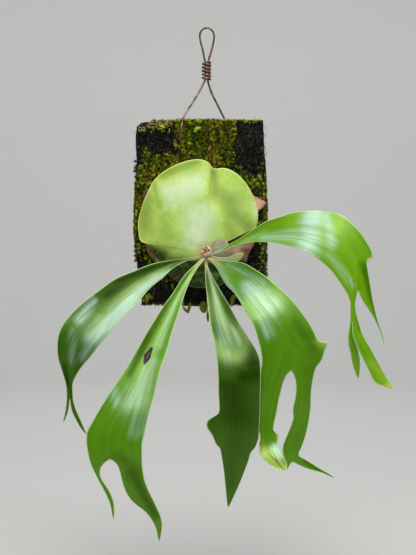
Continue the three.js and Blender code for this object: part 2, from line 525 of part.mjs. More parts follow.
function slabGeometry() {
  const [left, right] = [SLAB_LEFT, SLAB_RIGHT].map((points) => edgeCurve(points, 1));
  const [top, bottom] = [SLAB_TOP, SLAB_BOTTOM].map((points) => edgeCurve(points, 0));
  const vertices = [];
  const front = [];
  for (let r = 0; r <= SLAB_ROWS; r += 1) {
    const v = r / SLAB_ROWS;
    front.push(Array.from({ length: SLAB_COLUMNS + 1 }, (_, c) => {
      const u = c / SLAB_COLUMNS;
      const x = mix(left(v)[0], right(v)[0], u);
      const z = mix(top(u)[1], bottom(u)[1], v);
      return vertices.push(new THREE.Vector3(x, -SLAB_DEPTH - barkHeight(x, z), z)) - 1;
    }));
  }
  const triangles = [];
  for (let r = 0; r < SLAB_ROWS; r += 1) {
    for (let c = 0; c < SLAB_COLUMNS; c += 1) {
      const [a, b, d, e] = [front[r][c], front[r + 1][c], front[r + 1][c + 1], front[r][c + 1]];
      triangles.push([a, b, d], [a, d, e]);
    }
  }
  const leftSide = front.map((row) => row[0]);
  const rightSide = front.map((row) => row[SLAB_COLUMNS]);
  const topSide = front[0].slice(1, -1);
  const bottomSide = front[SLAB_ROWS].slice(1, -1);
  const rim = [...leftSide, ...bottomSide, ...rightSide.reverse(), ...topSide.reverse()];
  let outer = rim;
  for (const share of SLAB_SIDE_SHARES) {
    const inner = outer.map((_, i) => {
      const p = vertices[rim[i]];
      const turn = i * SLAB_SIDE_WAVE + share * SLAB_SIDE_SHIFT;
      const rough = share === 0 ? -SLAB_BACK_INSET : SLAB_SIDE_ROUGHNESS * Math.sin(turn);
      const out = new THREE.Vector2(p.x - SLAB_CENTRE.x, p.z - SLAB_CENTRE.z).setLength(rough);
      return vertices.push(new THREE.Vector3(p.x + out.x, -SLAB_DEPTH * share, p.z + out.y)) - 1;
    });
    for (let i = 0; i < outer.length; i += 1) {
      const next = (i + 1) % outer.length;
      triangles.push([outer[i], inner[i], inner[next]], [outer[i], inner[next], outer[next]]);
    }
    outer = inner;
  }
  const backOutline = outer.map((index) => new THREE.Vector2(vertices[index].x, vertices[index].z));
  for (const [a, b, c] of THREE.ShapeUtils.triangulateShape(backOutline, [])) {
    const turn = (backOutline[b].x - backOutline[a].x) * (backOutline[c].y - backOutline[a].y)
      - (backOutline[b].y - backOutline[a].y) * (backOutline[c].x - backOutline[a].x);
    triangles.push(turn > 0 ? [outer[c], outer[b], outer[a]] : [outer[a], outer[b], outer[c]]);
  }
  return indexed(vertices, triangles);
}

// The low cushion of moss and roots that the shields clasp.
function moundGeometry() {
  const { radius, height, rings, sides } = MOUND;
  const base = -SLAB_DEPTH - GAP;
  const profile = [new THREE.Vector2(0, base - height)];
  for (let ring = 1; ring <= rings; ring += 1) {
    const s = ring / rings;
    profile.push(new THREE.Vector2(radius * s, base - height * (1 - s ** 3) - (s < 1 ? 0 : 1)));
  }
  profile.push(new THREE.Vector2(radius, base), new THREE.Vector2(0, base));
  return new THREE.LatheGeometry(profile, sides).translate(MOUND.x, 0, MOUND.z);
}

// ---------------------------------------------------------------- wire
// From one strand in the binding down to the slab's face, through it, up its back, and over
// the loop to the other end in the binding.
const WIRE_POINTS = [
  [-STRAND_OFFSET, HANG_DEPTH, -47], [-STRAND_OFFSET, HANG_DEPTH, -56.5], [-3.9, -10, -63],
  [-8.3, -12.5, -72], [-15, -16, -84], [-21.6, -20, -94.5], [-25.3, -24.5, -103],
  [-27.3, -29.5, -115], [-28.6, -30.3, -122], [-29.4, -28.4, -128], [-29.5, -23, -129.6],
  [-29.5, -13, -130], [-29.4, -4.2, -130], [-27.6, -1.4, -129], [-14, -1.3, -122.4],
  [3, -1.3, -114.2], [17, -1.4, -107], [20.4, -2.4, -102], [16.3, -4.5, -92.7],
  [11.8, -5.8, -84], [6.2, -7.4, -73], [2.6, -8.7, -63], [STRAND_OFFSET, HANG_DEPTH, -56.5],
  [STRAND_OFFSET, HANG_DEPTH, -47], [STRAND_OFFSET, HANG_DEPTH, -38.5], [2.4, -8.6, -35],
  [5.1, -8, -26], [7.7, -7.5, -15], [8.3, -7.2, -7], [5.6, -7, -1.2], [0.5, -7, 1.1],
  [-4.6, -7, -1.2], [-7.3, -7.2, -6.5], [-6.7, -7.5, -14], [-4, -8, -26], [-2.2, -8.6, -35],
  [-STRAND_OFFSET, HANG_DEPTH, -38.5], [-STRAND_OFFSET, HANG_DEPTH, -47 + WIRE_ENDS_APART],
].map(([x, y, z]) => new THREE.Vector3(x, y, z));

function roundSection(radius, sides) {
  const outline = Array.from({ length: sides }, (_, i) => {
    const angle = (i / sides) * 2 * Math.PI;
    return new THREE.Vector2(radius * Math.cos(angle), radius * Math.sin(angle));
  });
  return new THREE.Shape(outline);
}

function tubeAlong(points, radius, steps) {
  const extrudePath = new THREE.CatmullRomCurve3(points, false, 'centripetal');
  return new THREE.ExtrudeGeometry(roundSection(radius, WIRE_SIDES), { steps, extrudePath });
}

// The wire's tail, wound round both strands.
function bindingGeometry() {
  const alongX = STRAND_OFFSET + 2 * WIRE_RADIUS + BINDING_CLEARANCE;
  const alongY = 2 * WIRE_RADIUS + BINDING_CLEARANCE;
  const count = BINDING_TURNS * BINDING_STEPS_PER_TURN;
  const points = Array.from({ length: count + 1 }, (_, i) => {
    const angle = (i / BINDING_STEPS_PER_TURN) * 2 * Math.PI;
    const z = BINDING_TOP - (BINDING_PITCH * i) / BINDING_STEPS_PER_TURN;
    return new THREE.Vector3(alongX * Math.cos(angle), HANG_DEPTH + alongY * Math.sin(angle), z);
  });
  return tubeAlong(points, WIRE_RADIUS, count);
}

// ---------------------------------------------------------------- joining and cutting
const wasm = await Module();
wasm.setup();

function solidOf(geometry) {
  const bare = geometry.clone();
  bare.deleteAttribute('normal');
  bare.deleteAttribute('uv');
  const merged = mergeVertices(bare, 1e-4);
  const positions = merged.attributes.position.array;
  const triangles = [];
  const { array } = merged.index;
  for (let i = 0; i < array.length; i += 3) {
    const [a, b, c] = [array[i], array[i + 1], array[i + 2]];
    if (a !== b && b !== c && a !== c) triangles.push(a, b, c);
  }
  return new wasm.Manifold(new wasm.Mesh({
    numProp: 3, vertProperties: new Float32Array(positions), triVerts: new Uint32Array(triangles),
  }));
}

function geometryOf(solid) {
  const { numProp, vertProperties, triVerts } = solid.getMesh();
  const geometry = new THREE.BufferGeometry();
  const positions = [];
  for (let i = 0; i < vertProperties.length; i += numProp) {
    positions.push(...vertProperties.slice(i, i + 3));
  }
  geometry.setAttribute('position', new THREE.Float32BufferAttribute(positions, 3));
  geometry.setIndex([...triVerts]);
  return geometry;
}

// The largest body of a solid, without the scraps that a cut leaves.
function largest(solid) {
  return solid.decompose().reduce((best, part) => (part.volume() > best.volume() ? part : best));
}

// ---------------------------------------------------------------- the object
const FROND_GREEN = { color: 0x5f8a2a, roughness: 0.42, metalness: 0 };
const LOOKS = {
  slab: { color: 0x2b2720, roughness: 0.95, metalness: 0 },
  moss: { color: 0x5c6526, roughness: 1, metalness: 0 },
  shield: { color: 0xa9bf72, roughness: 0.5, metalness: 0 },
  dry: { color: 0x8f6a4e, roughness: 0.8, metalness: 0 },
  felt: { color: 0xa5ab90, roughness: 0.9, metalness: 0 },
  bud: { color: 0x8a4d30, roughness: 0.8, metalness: 0 },
  young: { color: 0xa3b37c, roughness: 0.6, metalness: 0 },
  wire: { color: 0x96695a, roughness: 0.45, metalness: 0.6 },
};

const plant = new THREE.Group();

function place(name, geometry, look) {
  const mesh = new THREE.Mesh(geometry, new THREE.MeshStandardMaterial(look));
  mesh.name = name;
  plant.add(mesh);
  return mesh;
}

const withScales = (core) => crownScales().map(solidOf).reduce((body, scale) => body.add(scale), core);
const crownSolid = withScales(solidOf(crownCore(0)));
const crownRoom = withScales(solidOf(crownCore(GAP)));
const besideCrown = (geometry) => geometryOf(largest(solidOf(geometry).subtract(crownRoom)));

const wireTube = tubeAlong(WIRE_POINTS, WIRE_RADIUS, WIRE_STEPS);
const wireRoom = solidOf(tubeAlong(WIRE_POINTS, WIRE_RADIUS + CHANNEL_CLEARANCE, WIRE_STEPS));

place('mount_board', geometryOf(largest(solidOf(slabGeometry()).subtract(wireRoom))), LOOKS.slab);
place('root_mound', geometryOf(solidOf(moundGeometry())), LOOKS.moss);
place('old_shield_frond', besideCrown(shieldGeometry(OLD_SHIELD_RIM, OLD_SHIELD_DEPTH)), LOOKS.dry);
place('main_shield_frond', besideCrown(shieldGeometry(SHIELD_RIM, SHIELD_DEPTH)), LOOKS.shield);
const youngShield = youngShieldGeometry().translate(YOUNG_SHIELD.x, 0, YOUNG_SHIELD.z);
place('young_shield_frond', besideCrown(youngShield), LOOKS.felt);
place('young_antler_frond', besideCrown(frondGeometry(YOUNG_ANTLER)), LOOKS.young);
place('crown_bud', geometryOf(crownSolid), LOOKS.bud);

const fronds = {
  frond_left: FROND_LEFT,
  frond_lower_left: FROND_LOWER_LEFT,
  frond_centre: FROND_CENTRE,
  frond_lower_right: FROND_LOWER_RIGHT,
  frond_right: FROND_RIGHT,
};
for (const [name, blade] of Object.entries(fronds)) {
  place(name, besideCrown(frondGeometry(blade)), FROND_GREEN);
}

place('wire_hanger', wireTube, LOOKS.wire);
place('wire_binding', bindingGeometry(), LOOKS.wire);

export default plant;
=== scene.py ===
"""Dresses a young staghorn fern on its hanging slab.

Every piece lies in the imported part's frame: metres, +Z up, front towards -Y. Tables and sizes
are in millimetres, as on the maker's drawing, and become metres where a mesh is made.
"""
import logging
import math
import random
from dataclasses import dataclass, field
from enum import Enum
from typing import Callable, Iterable, Optional, Sequence

import bmesh
import bpy
import numpy as np
from mathutils import Matrix, Vector, noise


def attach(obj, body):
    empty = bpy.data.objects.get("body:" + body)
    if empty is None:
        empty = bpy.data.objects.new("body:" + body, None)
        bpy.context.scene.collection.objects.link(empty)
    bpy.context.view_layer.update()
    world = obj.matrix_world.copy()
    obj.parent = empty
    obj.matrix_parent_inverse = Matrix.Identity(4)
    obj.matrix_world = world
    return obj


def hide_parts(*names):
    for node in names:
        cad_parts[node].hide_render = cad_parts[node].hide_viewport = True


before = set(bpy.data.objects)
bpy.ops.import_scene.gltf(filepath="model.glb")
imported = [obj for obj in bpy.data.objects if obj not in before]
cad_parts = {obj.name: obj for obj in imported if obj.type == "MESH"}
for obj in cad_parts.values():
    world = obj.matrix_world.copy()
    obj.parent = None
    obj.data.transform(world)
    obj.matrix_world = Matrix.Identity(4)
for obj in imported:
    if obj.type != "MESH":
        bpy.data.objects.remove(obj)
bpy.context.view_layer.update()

logging.basicConfig(level=logging.INFO, format="%(message)s")
log = logging.getLogger("staghorn")

Colour = tuple[float, float, float]
Point = tuple[float, float, float]
Spot = tuple[float, float]
Piece = bpy.types.Object
Material = bpy.types.Material
Socket = bpy.types.NodeSocket
Net = bmesh.types.BMesh
Vert = bmesh.types.BMVert

MM = 0.001
FULL_TURN = 2 * math.pi
FRONT = Vector((0, -1, 0))
UP = Vector((0, 0, 1))

# smallest squared length, and how near points weld together, in metres
TINY = 1e-12
WELD = 1e-6
FLOOR_WELD = 1e-4

# a tube's first guess at its side, a way that no path takes
SWEEP_START = (0.31, 0.87, 0.38)
HAIR_SIDES = 4

# a stroke's tone falls by exp(-0.69), to half, one width from its line
STROKE_FALL = 0.69

# blades: the shortest step between rows, waves apart by seed, and length of one map unit
SHORTEST_STEP = 0.5
SEED_STEP = 7.1
UV_LENGTH = 100

# x and z of the crown's and the cushion's middle, and the depth that moss grows from
CROWN = (-0.4, -252.0)
CUSHION = (-6.0, -238.0)
SLAB_FACE = -28.0


class Slot(Enum):
    """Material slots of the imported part."""

    SLAB = "slab"
    MOSS = "moss"
    SHIELD = "shield"
    DRY = "dry"
    FELT = "felt"
    YOUNG = "young"
    BUD = "bud"
    FROND = "frond"
    WIRE = "wire"


# ---------------------------------------------------------------- numbers
def mix(a: float, b: float, share: float) -> float:
    """Returns the value `share` of the way from a to b."""
    return a + (b - a) * share


def smooth(share: float) -> float:
    """Returns an eased 0 to 1 for a share that may lie outside it."""
    share = min(1.0, max(0.0, share))
    return share * share * (3 - 2 * share)


def linear(value: int) -> float:
    """Returns one colour channel, 0 to 255, without its screen curve."""
    part = value / 255
    return part / 12.92 if part <= 0.04045 else ((part + 0.055) / 1.055) ** 2.4


def shade(red: int, green: int, blue: int) -> Colour:
    """Returns a screen colour as the shaders take it."""
    return linear(red), linear(green), linear(blue)


class RowCurve:
    """A smooth curve through rows of numbers that never swings past them."""

    def __init__(self, rows: Sequence[Sequence[float]], places: Sequence[float]) -> None:
        """Finds the slopes.

        Args:
            rows: The rows that the curve passes through.
            places: Where along the curve each row stands, rising.
        """
        self.rows = [list(map(float, row)) for row in rows]
        self.places = list(places)
        self.slopes = [self.column_slopes(column) for column in zip(*self.rows)]

    def column_slopes(self, values: Sequence[float]) -> list[float]:
        """Finds the slope of one column at each row.

        Args:
            values: The column's value in each row.

        Returns:
            The slopes.
        """
        t = self.places
        rise = [(values[i + 1] - values[i]) / (t[i + 1] - t[i]) for i in range(len(values) - 1)]
        inner = [0.0 if a * b <= 0 else 2 * a * b / (a + b) for a, b in zip(rise, rise[1:])]
        return [rise[0], *inner, rise[-1]]

    def between(self, span: int, s: float) -> list[float]:
        """Finds the row between two known ones.

        Args:
            span: Number of the row before it.
            s: Share of the way to the next row.

        Returns:
            The row.
        """
        width = self.places[span + 1] - self.places[span]
        s2, s3 = s * s, s * s * s
        made = []
        for c, slopes in enumerate(self.slopes):
            a, b = self.rows[span][c], self.rows[span + 1][c]
            ma, mb = slopes[span] * width, slopes[span + 1] * width
            made.append((2 * s3 - 3 * s2 + 1) * a + (s3 - 2 * s2 + s) * ma
                        + (3 * s2 - 2 * s3) * b + (s3 - s2) * mb)
        return made

    def at(self, place: float) -> list[float]:
        """Finds the row at a place along the curve.

        Args:
            place: The place.

        Returns:
            The row.
        """
        last = len(self.places) - 2
        span = next((i for i in range(last + 1) if self.places[i + 1] >= place), last)
        return self.between(span, (place - self.places[span]) / (self.places[span + 1] - self.places[span]))


def edge_curve(points: Sequence[Sequence[float]], axis: int) -> Callable[[float], list[float]]:
    """Runs a curve through the points of an edge.

    Args:
        points: The edge's points.
        axis: The coordinate that runs evenly along the edge.

    Returns:
        The edge as a function of the share of its way along the axis.
    """
    first, last = points[0][axis], points[-1][axis]
    return RowCurve(points, [(point[axis] - first) / (last - first) for point in points]).at


def through(points: Sequence[Sequence[float]], steps: int) -> list[Vector]:
    """Draws a rounded line through points.

    Args:
        points: The points, in any unit.
        steps: Number of new points for each span.

    Returns:
        The points of the line in order.
    """
    knots = [Vector(p) for p in points]
    line = []
    for i, (b, c) in enumerate(zip(knots, knots[1:])):
        a = knots[i - 1] if i else b * 2 - c
        d = knots[i + 2] if i + 2 < len(knots) else c * 2 - b
        for t in (k / steps for k in range(steps)):
            line.append(0.5 * (2 * b + (c - a) * t + (2 * a - 5 * b + 4 * c - d) * t ** 2
                               + (3 * b - a - 3 * c + d) * t ** 3))
    return [*line, knots[-1]]


# ---------------------------------------------------------------- the fern's tables
@dataclass(frozen=True)
class Blade:
    """A blade or lobe, seen from the front with its stalk at the top.

    Each row is left x, left z, right x, right z, the depth of the middle, how much further
    back the right margin lies than the left one, and how far the middle stands out.
    """

    columns: int
    rows: list[list[float]]
    fork: Optional["Fork"] = None


@dataclass(frozen=True)
class Fork:
    """Two lobes that share the last row of their blade, and where across it they part."""

    share: float
    left: Blade
    right: Blade


FROND_LEFT = Blade(4, [
    [-3.5, -255, -3.5, -258, -56.5, 0, -0.3], [-8, -256.5, -8, -259.5, -59.5, 0, -0.4],
    [-17.5, -257.5, -17.5, -261, -66, 0, -0.6], [-27.5, -259.5, -24.5, -263.5, -75, -1, -0.9],
    [-39.5, -261.5, -34.5, -269.5, -84, -3, -1.5], [-53.5, -264.5, -43, -278, -93, -6, -2.5],
    [-71.5, -271.5, -56.5, -289.5, -103, -9, -3.5], [-91, -279.5, -68, -304, -113, -12, -4.5],
    [-108, -292, -82.5, -319, -121, -14, -4.5], [-123, -304, -94.5, -334.5, -128, -14, -3.5],
    [-135, -316.5, -104, -345.5, -133, -11, -2], [-142, -328.5, -112.5, -357, -137, -7, -0.5],
    [-145, -340.5, -118, -363, -139, -4, -1.5], [-145, -353, -123, -369.5, -139, -2, -2.5],
    [-141.5, -366, -127, -376, -138, -1, -2], [-138, -377.5, -129.5, -381.5, -137, 0, -1],
    [-136, -387, -130, -386.5, -136, 0, -0.6], [-136, -397.5, -129.5, -397.5, -135, 0, -0.4]],
    Fork(0.5, Blade(2, [
        [-137, -406, -134, -407, -134, 0, -0.2], [-138.5, -413.5, -136.5, -414.5, -132, 0, -0.2],
        [-140.5, -420, -139, -420.5, -130, 0, 0]]),
        Blade(2, [
            [-131.5, -407, -127, -406, -136, -2, -0.3], [-127, -416.5, -123, -414, -138, -3, -0.3],
            [-122, -425, -119, -423, -139, -2, -0.2], [-117, -431, -116, -429.5, -139, -1, 0]])))

FROND_LOWER_LEFT = Blade(5, [
    [-3, -257, -0.5, -259, -62.5, 0, -0.3], [-12, -265, -7, -267, -69, 0, -0.8],
    [-17, -269.5, -11.5, -273.5, -74, 0, -1.2], [-25, -279.5, -17, -283, -81, 0, -1.6],
    [-34.5, -295, -22.5, -297, -90, 0, -2.2], [-45, -309.5, -27, -313, -100, 0, -2.8],
    [-56.5, -328.5, -33, -330.5, -112, 0, -3.2], [-69, -351, -38.5, -351.5, -125, 0, -3.2],
    [-82, -373.5, -45.5, -372.5, -138, 0, -2.5], [-93.5, -391, -50, -392.5, -148, -1, -1.5],
    [-103.5, -407, -54, -407.5, -155, -3, 0], [-110, -419, -56.5, -419, -159, -4, 1],
    [-113.5, -425.5, -58, -427.5, -161, -4, 1.5], [-113.5, -433.5, -60, -434.5, -162, -3, 2],
    [-112, -442.5, -60, -443, -163, -2, 2], [-110.5, -449.5, -60, -450, -163, -1, 2]],
    Fork(0.4, Blade(2, [
        [-109.5, -452.5, -95.5, -453, -163, 0, 0.6], [-108, -457, -99, -457, -162.5, 0, 0.3],
        [-105.5, -462.5, -100.5, -463, -162, 0, 0], [-103, -467.5, -100, -467.5, -161, 0, 0],
        [-101, -472, -97, -472.5, -160, 0, -0.3], [-98, -478, -92.5, -479.5, -159, 1, -0.6],
        [-94, -487, -89, -488, -157, 1, -0.6], [-91, -496, -87.5, -495.5, -155, 0, -0.4],
        [-90, -503, -87.5, -503, -153, 0, -0.2], [-89, -510, -88, -510, -151, 0, 0]]),
        Blade(3, [
            [-85.5, -452.5, -60, -454.5, -163, 0, 1.5], [-82.5, -457.5, -59.5, -460, -163, 0, 1.2],
            [-81, -464, -58.5, -467.5, -162, 0, 1], [-79, -473, -56, -476, -161, 0, 1],
            [-76, -482, -52.5, -484.5, -159, 1, 1.5], [-72, -489, -49, -492, -157, 2, 2],
            [-65.5, -495.5, -46, -500, -155, 3, 1.5], [-58, -501.5, -43.5, -506.5, -153, 3, 1],
            [-52, -510, -42, -514.5, -151, 2, 0.6], [-48, -518.5, -42.5, -521, -150, 1, 0.3],
            [-46.5, -526.5, -43.5, -527, -149, 0, 0], [-45.5, -532, -44.5, -532, -149, 0, 0]])))

FROND_CENTRE = Blade(5, [
    [-2, -256, 0.5, -256, -56.5, 0, -0.3], [-2.5, -261.5, 1, -261.5, -59.5, 0, -0.5],
    [-2, -267, 2, -267, -64.5, 0, -0.7], [-1.5, -277, 6.5, -277.5, -75, 0, -1.2],
    [0, -292, 15, -293, -90, 0, -2.2], [1.5, -308, 24, -308.5, -102, 0, -3],
    [3.5, -324, 32.5, -324, -114, 0, -3.4], [6.5, -338.5, 42, -339, -127.5, -1, -3],
    [9, -351.5, 49, -350, -137.5, -2, -2], [10.5, -361.5, 52, -357.5, -142.8, -3, -1],
    [11, -369, 52.5, -364.5, -145.2, -3, 0], [11.5, -375.5, 52.5, -372.5, -146.5, -3, 0.6],
    [11.5, -387, 52.5, -385, -147, -2, 1], [12, -397.5, 52, -396.5, -147, -2, 1],
    [12.5, -406.5, 52, -405.5, -147, -2, 1], [11.5, -410.5, 52, -409.5, -147, -2, 1],
    [5.5, -413, 51.5, -412.5, -147, -2, 1], [0.5, -416, 51.5, -415.5, -147, -2, 1],
    [-1, -420.5, 51.5, -420, -147, -2, 1], [1.5, -425.5, 51, -425, -147, -2, 1],
    [5.5, -430, 51, -429.5, -147, -2, 1], [7.5, -436, 50, -435.5, -146.5, -2, 1],
    [9.5, -440.5, 48.5, -439.5, -146.5, -1, 1], [13, -442, 47.5, -442, -146, -1, 1],
    [14, -447.5, 42.5, -447.5, -146, 0, 1], [15, -454.5, 41, -454.5, -145.5, 0, 1],
    [16.5, -462.5, 38, -462.5, -145, 0, 0.8], [17.5, -472, 34.5, -472, -144, 0, 0.6],
    [18.5, -482, 30.5, -482, -143, 0, 0.4], [19.5, -492, 26, -492, -142, 0, 0.2],
    [20.5, -501, 22, -501, -141, 0, 0]])

FROND_LOWER_RIGHT = Blade(6, [
    [0, -259, 3, -257, -62, 0, -0.3], [5, -263.5, 10, -259.5, -70, 1, -0.8],
    [10, -269.5, 18.5, -260.5, -78.5, 2, -1.4], [14.5, -277, 28.5, -262, -88, 3, -2.2],
    [20, -286.5, 38.5, -264.5, -98, 4, -3], [27, -293.5, 50, -271.5, -108, 6, -3],
    [32.5, -301.5, 61.5, -279.5, -117.5, 8, -2.4], [38.5, -313, 74, -290.5, -126, 9, -1.4],
    [44, -322, 85, -302, -132, 9, 0], [48, -332, 95.5, -316, -136, 8, 1],
    [50.5, -341.5, 103, -328, -138.5, 6, 1.6], [52.5, -349, 107, -337, -140, 5, 2],
    [53, -353.5, 108, -340, -140.5, 4, 2], [53.5, -356.5, 112, -341, -141, 4, 2],
    [53.5, -359, 118.5, -341, -141.3, 4, 2], [53.5, -361, 117.5, -344.5, -141.6, 4, 2],
    [53, -363.5, 115, -348.5, -142, 4, 2], [52.5, -366.5, 113.5, -355, -142.3, 3, 2],
    [52, -369.5, 111.5, -360.5, -142.6, 3, 1.8], [52, -373, 106.5, -364.5, -143, 3, 1.6]],
    Fork(0.54, Blade(3, [
        [52, -376.5, 77, -373.5, -143, 2, 1], [51.5, -381.5, 74.5, -380, -143, 2, 0.8],
        [51, -389, 72.5, -387.5, -143.5, 1, 0.8], [51, -398, 70, -397, -144, 0, 0.8],
        [50, -409.5, 68, -408.5, -144, 0, 0.8], [49.5, -420, 65, -421, -144.5, 0, 0.6],
        [50.5, -426, 64, -426.5, -145, 0, 0.6], [51.5, -429, 70, -429.5, -145.5, 1, 0.6],
        [51.5, -433, 69.5, -433, -146.5, 1, 0.3], [51, -437.5, 68, -436, -148.5, 1, -0.4],
        [50, -444, 70, -442, -153, 0, -1.4], [53, -450, 73, -447.5, -159, 0, -1.8],
        [58.5, -454, 75, -452, -165, 0, -1.4], [65, -457, 76, -455.5, -170, 0, -0.6],
        [70.5, -458.5, 74.5, -458, -173, 0, 0]]),
        Blade(3, [
            [84, -372.5, 104.5, -371, -143, 2, 0.8], [86, -378.5, 103, -378, -143, 1, 0.6],
            [86.5, -386.5, 101.5, -387.5, -143, 1, 0.5], [85.5, -395.5, 101, -397.5, -143, 1, 0.5],
            [83.5, -403.5, 101, -405.5, -142.5, 1, 0.5], [83, -408.5, 100, -410.5, -142.5, 1, 0.5],
            [84, -413, 99.5, -415.5, -142.5, 1, 0.5], [82, -420.5, 98, -423.5, -142, 1, 0.5],
            [78.5, -430, 95.5, -434, -141, 0, 0.5], [75, -439, 92, -444.5, -140, 0, 0.4],
            [73.5, -446.5, 89.5, -449.5, -139.5, 0, 0.3], [74.5, -453, 90, -452, -139, 0, 0.3],
            [76, -460, 94, -454, -138.5, 0, 0.3]],
            Fork(0.4, Blade(1, [
                [76.5, -462.5, 81, -461, -138, 0, 0.1], [78, -465.5, 79, -465, -138, 0, 0]]),
                Blade(2, [
                    [88, -460, 99, -457, -138.5, 0, -0.3], [94.5, -463, 105.5, -461, -139, 0, -0.5],
                    [100.5, -465, 111, -464.5, -140, 0, -0.5], [107, -466.5, 115, -466.5, -141, 0, -0.4],
                    [113.5, -468, 119, -468.5, -142, 0, -0.2], [122.5, -473, 123.5, -472, -143, 0, 0]])))))

FROND_RIGHT = Blade(5, [
    [3.5, -256.5, 1.5, -254, -58.5, 0, -0.3], [11, -254, 9.5, -252, -63, 0, -0.4],
    [19, -251, 17, -248.5, -68, 1, -0.5], [27, -247, 25.5, -243, -73.5, 2, -0.9],
    [35, -245, 33.5, -239, -79, 3, -1.4], [43, -243, 42, -233, -84.5, 5, -2.2],
    [51.5, -242.5, 51, -227.5, -90, 8, -3], [62.5, -243.5, 62, -221, -97, 12, -3.2],
    [74.5, -245.5, 77, -216.5, -104, 16, -2.4], [86, -249, 93, -212, -110, 20, -1],
    [96, -253.5, 108.5, -211.5, -115.5, 21, 1], [106.5, -259.5, 122.5, -213, -121, 18, 2.5],
    [115, -266, 133.5, -216.5, -126, 14, 3], [122.5, -273.5, 143.5, -225, -130, 10, 3],
    [128, -281.5, 151.5, -234.5, -133, 7, 2.6], [131, -286, 157.5, -244.5, -135, 5, 2.2],
    [132, -288, 161.5, -252.5, -136, 4, 2], [133, -289.5, 164.5, -260, -136.5, 4, 2],
    [134, -290.5, 160, -260, -137, 4, 2], [134.5, -292, 156.5, -260, -137.5, 3, 1.8],
    [135.5, -293, 156, -264, -137.5, 3, 1.7], [136.5, -294.5, 157, -270.5, -138, 2, 1.5],
    [137, -296, 158, -277.5, -138.5, 2, 1.3], [137.5, -297.5, 159, -284.5, -139, 1, 1.1]],
    Fork(0.43, Blade(3, [
        [138.5, -300.5, 146, -296, -139, 1, 0.5], [139.5, -303.5, 144.5, -302, -139, 2, 0.3],
        [139.5, -307.5, 144, -306.5, -138.5, 3, 0.2], [139.5, -312.5, 145, -311.5, -138, 3, 0.2],
        [139.5, -317.5, 146.5, -317, -137.5, 2, 0.3], [139.5, -322, 148.5, -323.5, -137, 2, 0.3]],
        Fork(0.25, Blade(1, [
            [139, -328, 142.5, -329, -135.5, 1, 0.2], [138, -337, 145, -338, -134, 1, 0.3],
            [138.5, -345, 147.5, -346.5, -133, 1, 0.4], [140.5, -352.5, 149, -353, -132.5, 0, 0.4],
            [141.5, -359.5, 150.5, -360, -132, 0, 0.4], [143.5, -366.5, 150.5, -367.5, -131.5, 0, 0.3],
            [146, -373, 150, -374, -131, 0, 0.1], [148, -378, 149.5, -378, -131, 0, 0]]),
            Blade(2, [
                [141, -330, 150.5, -331, -138.5, 1, 0.3], [142.5, -338, 153.5, -338, -139.5, 1, 0.5],
                [145.5, -346, 157.5, -344.5, -140, 1, 0.6], [148.5, -353, 161.5, -351.5, -140.5, 1, 0.6],
                [152, -359.5, 165.5, -359.5, -141, 1, 0.6], [155.5, -366.5, 169, -366, -141.5, 0, 0.5],
                [158.5, -373, 172.5, -372.5, -142.5, 0, 0.3], [160.5, -378.5, 175.5, -378, -144, 0, 0],
                [164.5, -382, 177.5, -380.5, -145, 0, -0.3], [170, -383, 179, -383, -146, 0, -0.3],
                [175, -386, 180.5, -385.5, -147.5, 0, 0]]))),
        Blade(2, [
            [149, -297, 160, -291, -139, 1, 0.6], [152, -302.5, 161, -299, -139, 0, 0.5],
            [156, -308.5, 162.5, -305.5, -139, 0, 0.4], [159.5, -313.5, 164, -312, -139, 0, 0.3],
            [162.5, -318.5, 165.5, -318, -138.5, 0, 0.2], [165.5, -324.5, 167.5, -324.5, -138, 0, 0.1],
            [169, -332.5, 170.5, -332, -137.5, 0, 0], [173, -345.5, 174, -345.5, -137, 0, 0]])))

YOUNG_ANTLER = Blade(2, [
    [3.5, -258, 4, -255, -55, 0, -0.2], [14.5, -261, 14.5, -257.5, -55.5, 0, -0.3],
    [24, -262.5, 23.5, -257, -57, 0, -0.4], [30.5, -262.5, 31.5, -253.5, -59.5, 0, -0.4],
    [35, -261, 37.5, -252.5, -62, 0, -0.2], [38, -257, 39.5, -253.5, -63, 0, 0]])

# x, depth and z round each shield, from its cleft over its top
SHIELD_RIM = [
    [54, -38, -225], [56, -37.5, -216], [56, -37, -207], [54, -36.5, -198], [50, -36, -188],
    [44, -36, -177], [36, -36, -168], [26, -36, -161], [17, -35, -159], [8, -33.5, -160], [2, -34.5, -153],
    [-7, -36, -150], [-18, -36.5, -151], [-28, -37, -154], [-39, -37, -159], [-50, -37, -166],
    [-58, -37, -174], [-63, -37.5, -184], [-68, -38, -195], [-71, -38.5, -205], [-74, -39, -216],
    [-74, -40.5, -227], [-71.5, -45, -239.5], [-64.5, -46, -242.5], [-59, -40, -249], [-56, -37, -258],
    [-50, -36, -267], [-43, -35.5, -275], [-31, -35, -284], [-18, -34.5, -289], [-4, -34.5, -290.5],
    [9, -34.5, -289.5], [17, -35, -287], [22, -36.5, -280], [21, -39.5, -271]]
OLD_SHIELD_RIM = [
    [44, -30.5, -263], [47, -31, -252], [53, -31, -241], [52, -31.5, -229], [52, -31.5, -216],
    [54, -31.5, -210], [59, -32, -205], [66, -33, -197], [57, -32, -192], [48, -31.5, -187],
    [42, -31.5, -179], [32, -31.5, -168], [17, -30.5, -163], [6, -30, -164], [-2, -30.5, -158],
    [-18, -31, -156], [-33, -31.5, -160], [-47, -32, -168], [-59, -32, -179], [-67, -32, -184],
    [-70, -32, -191], [-66, -32, -200], [-69, -32, -216], [-70, -32, -229], [-67, -32.5, -241],
    [-65, -32.5, -251], [-59, -32, -259], [-53, -31, -265], [-44, -30.5, -272], [-31, -30, -280],
    [-18, -30, -285], [-1, -30, -286], [12, -30, -283], [24, -30, -277], [35, -30, -271]]
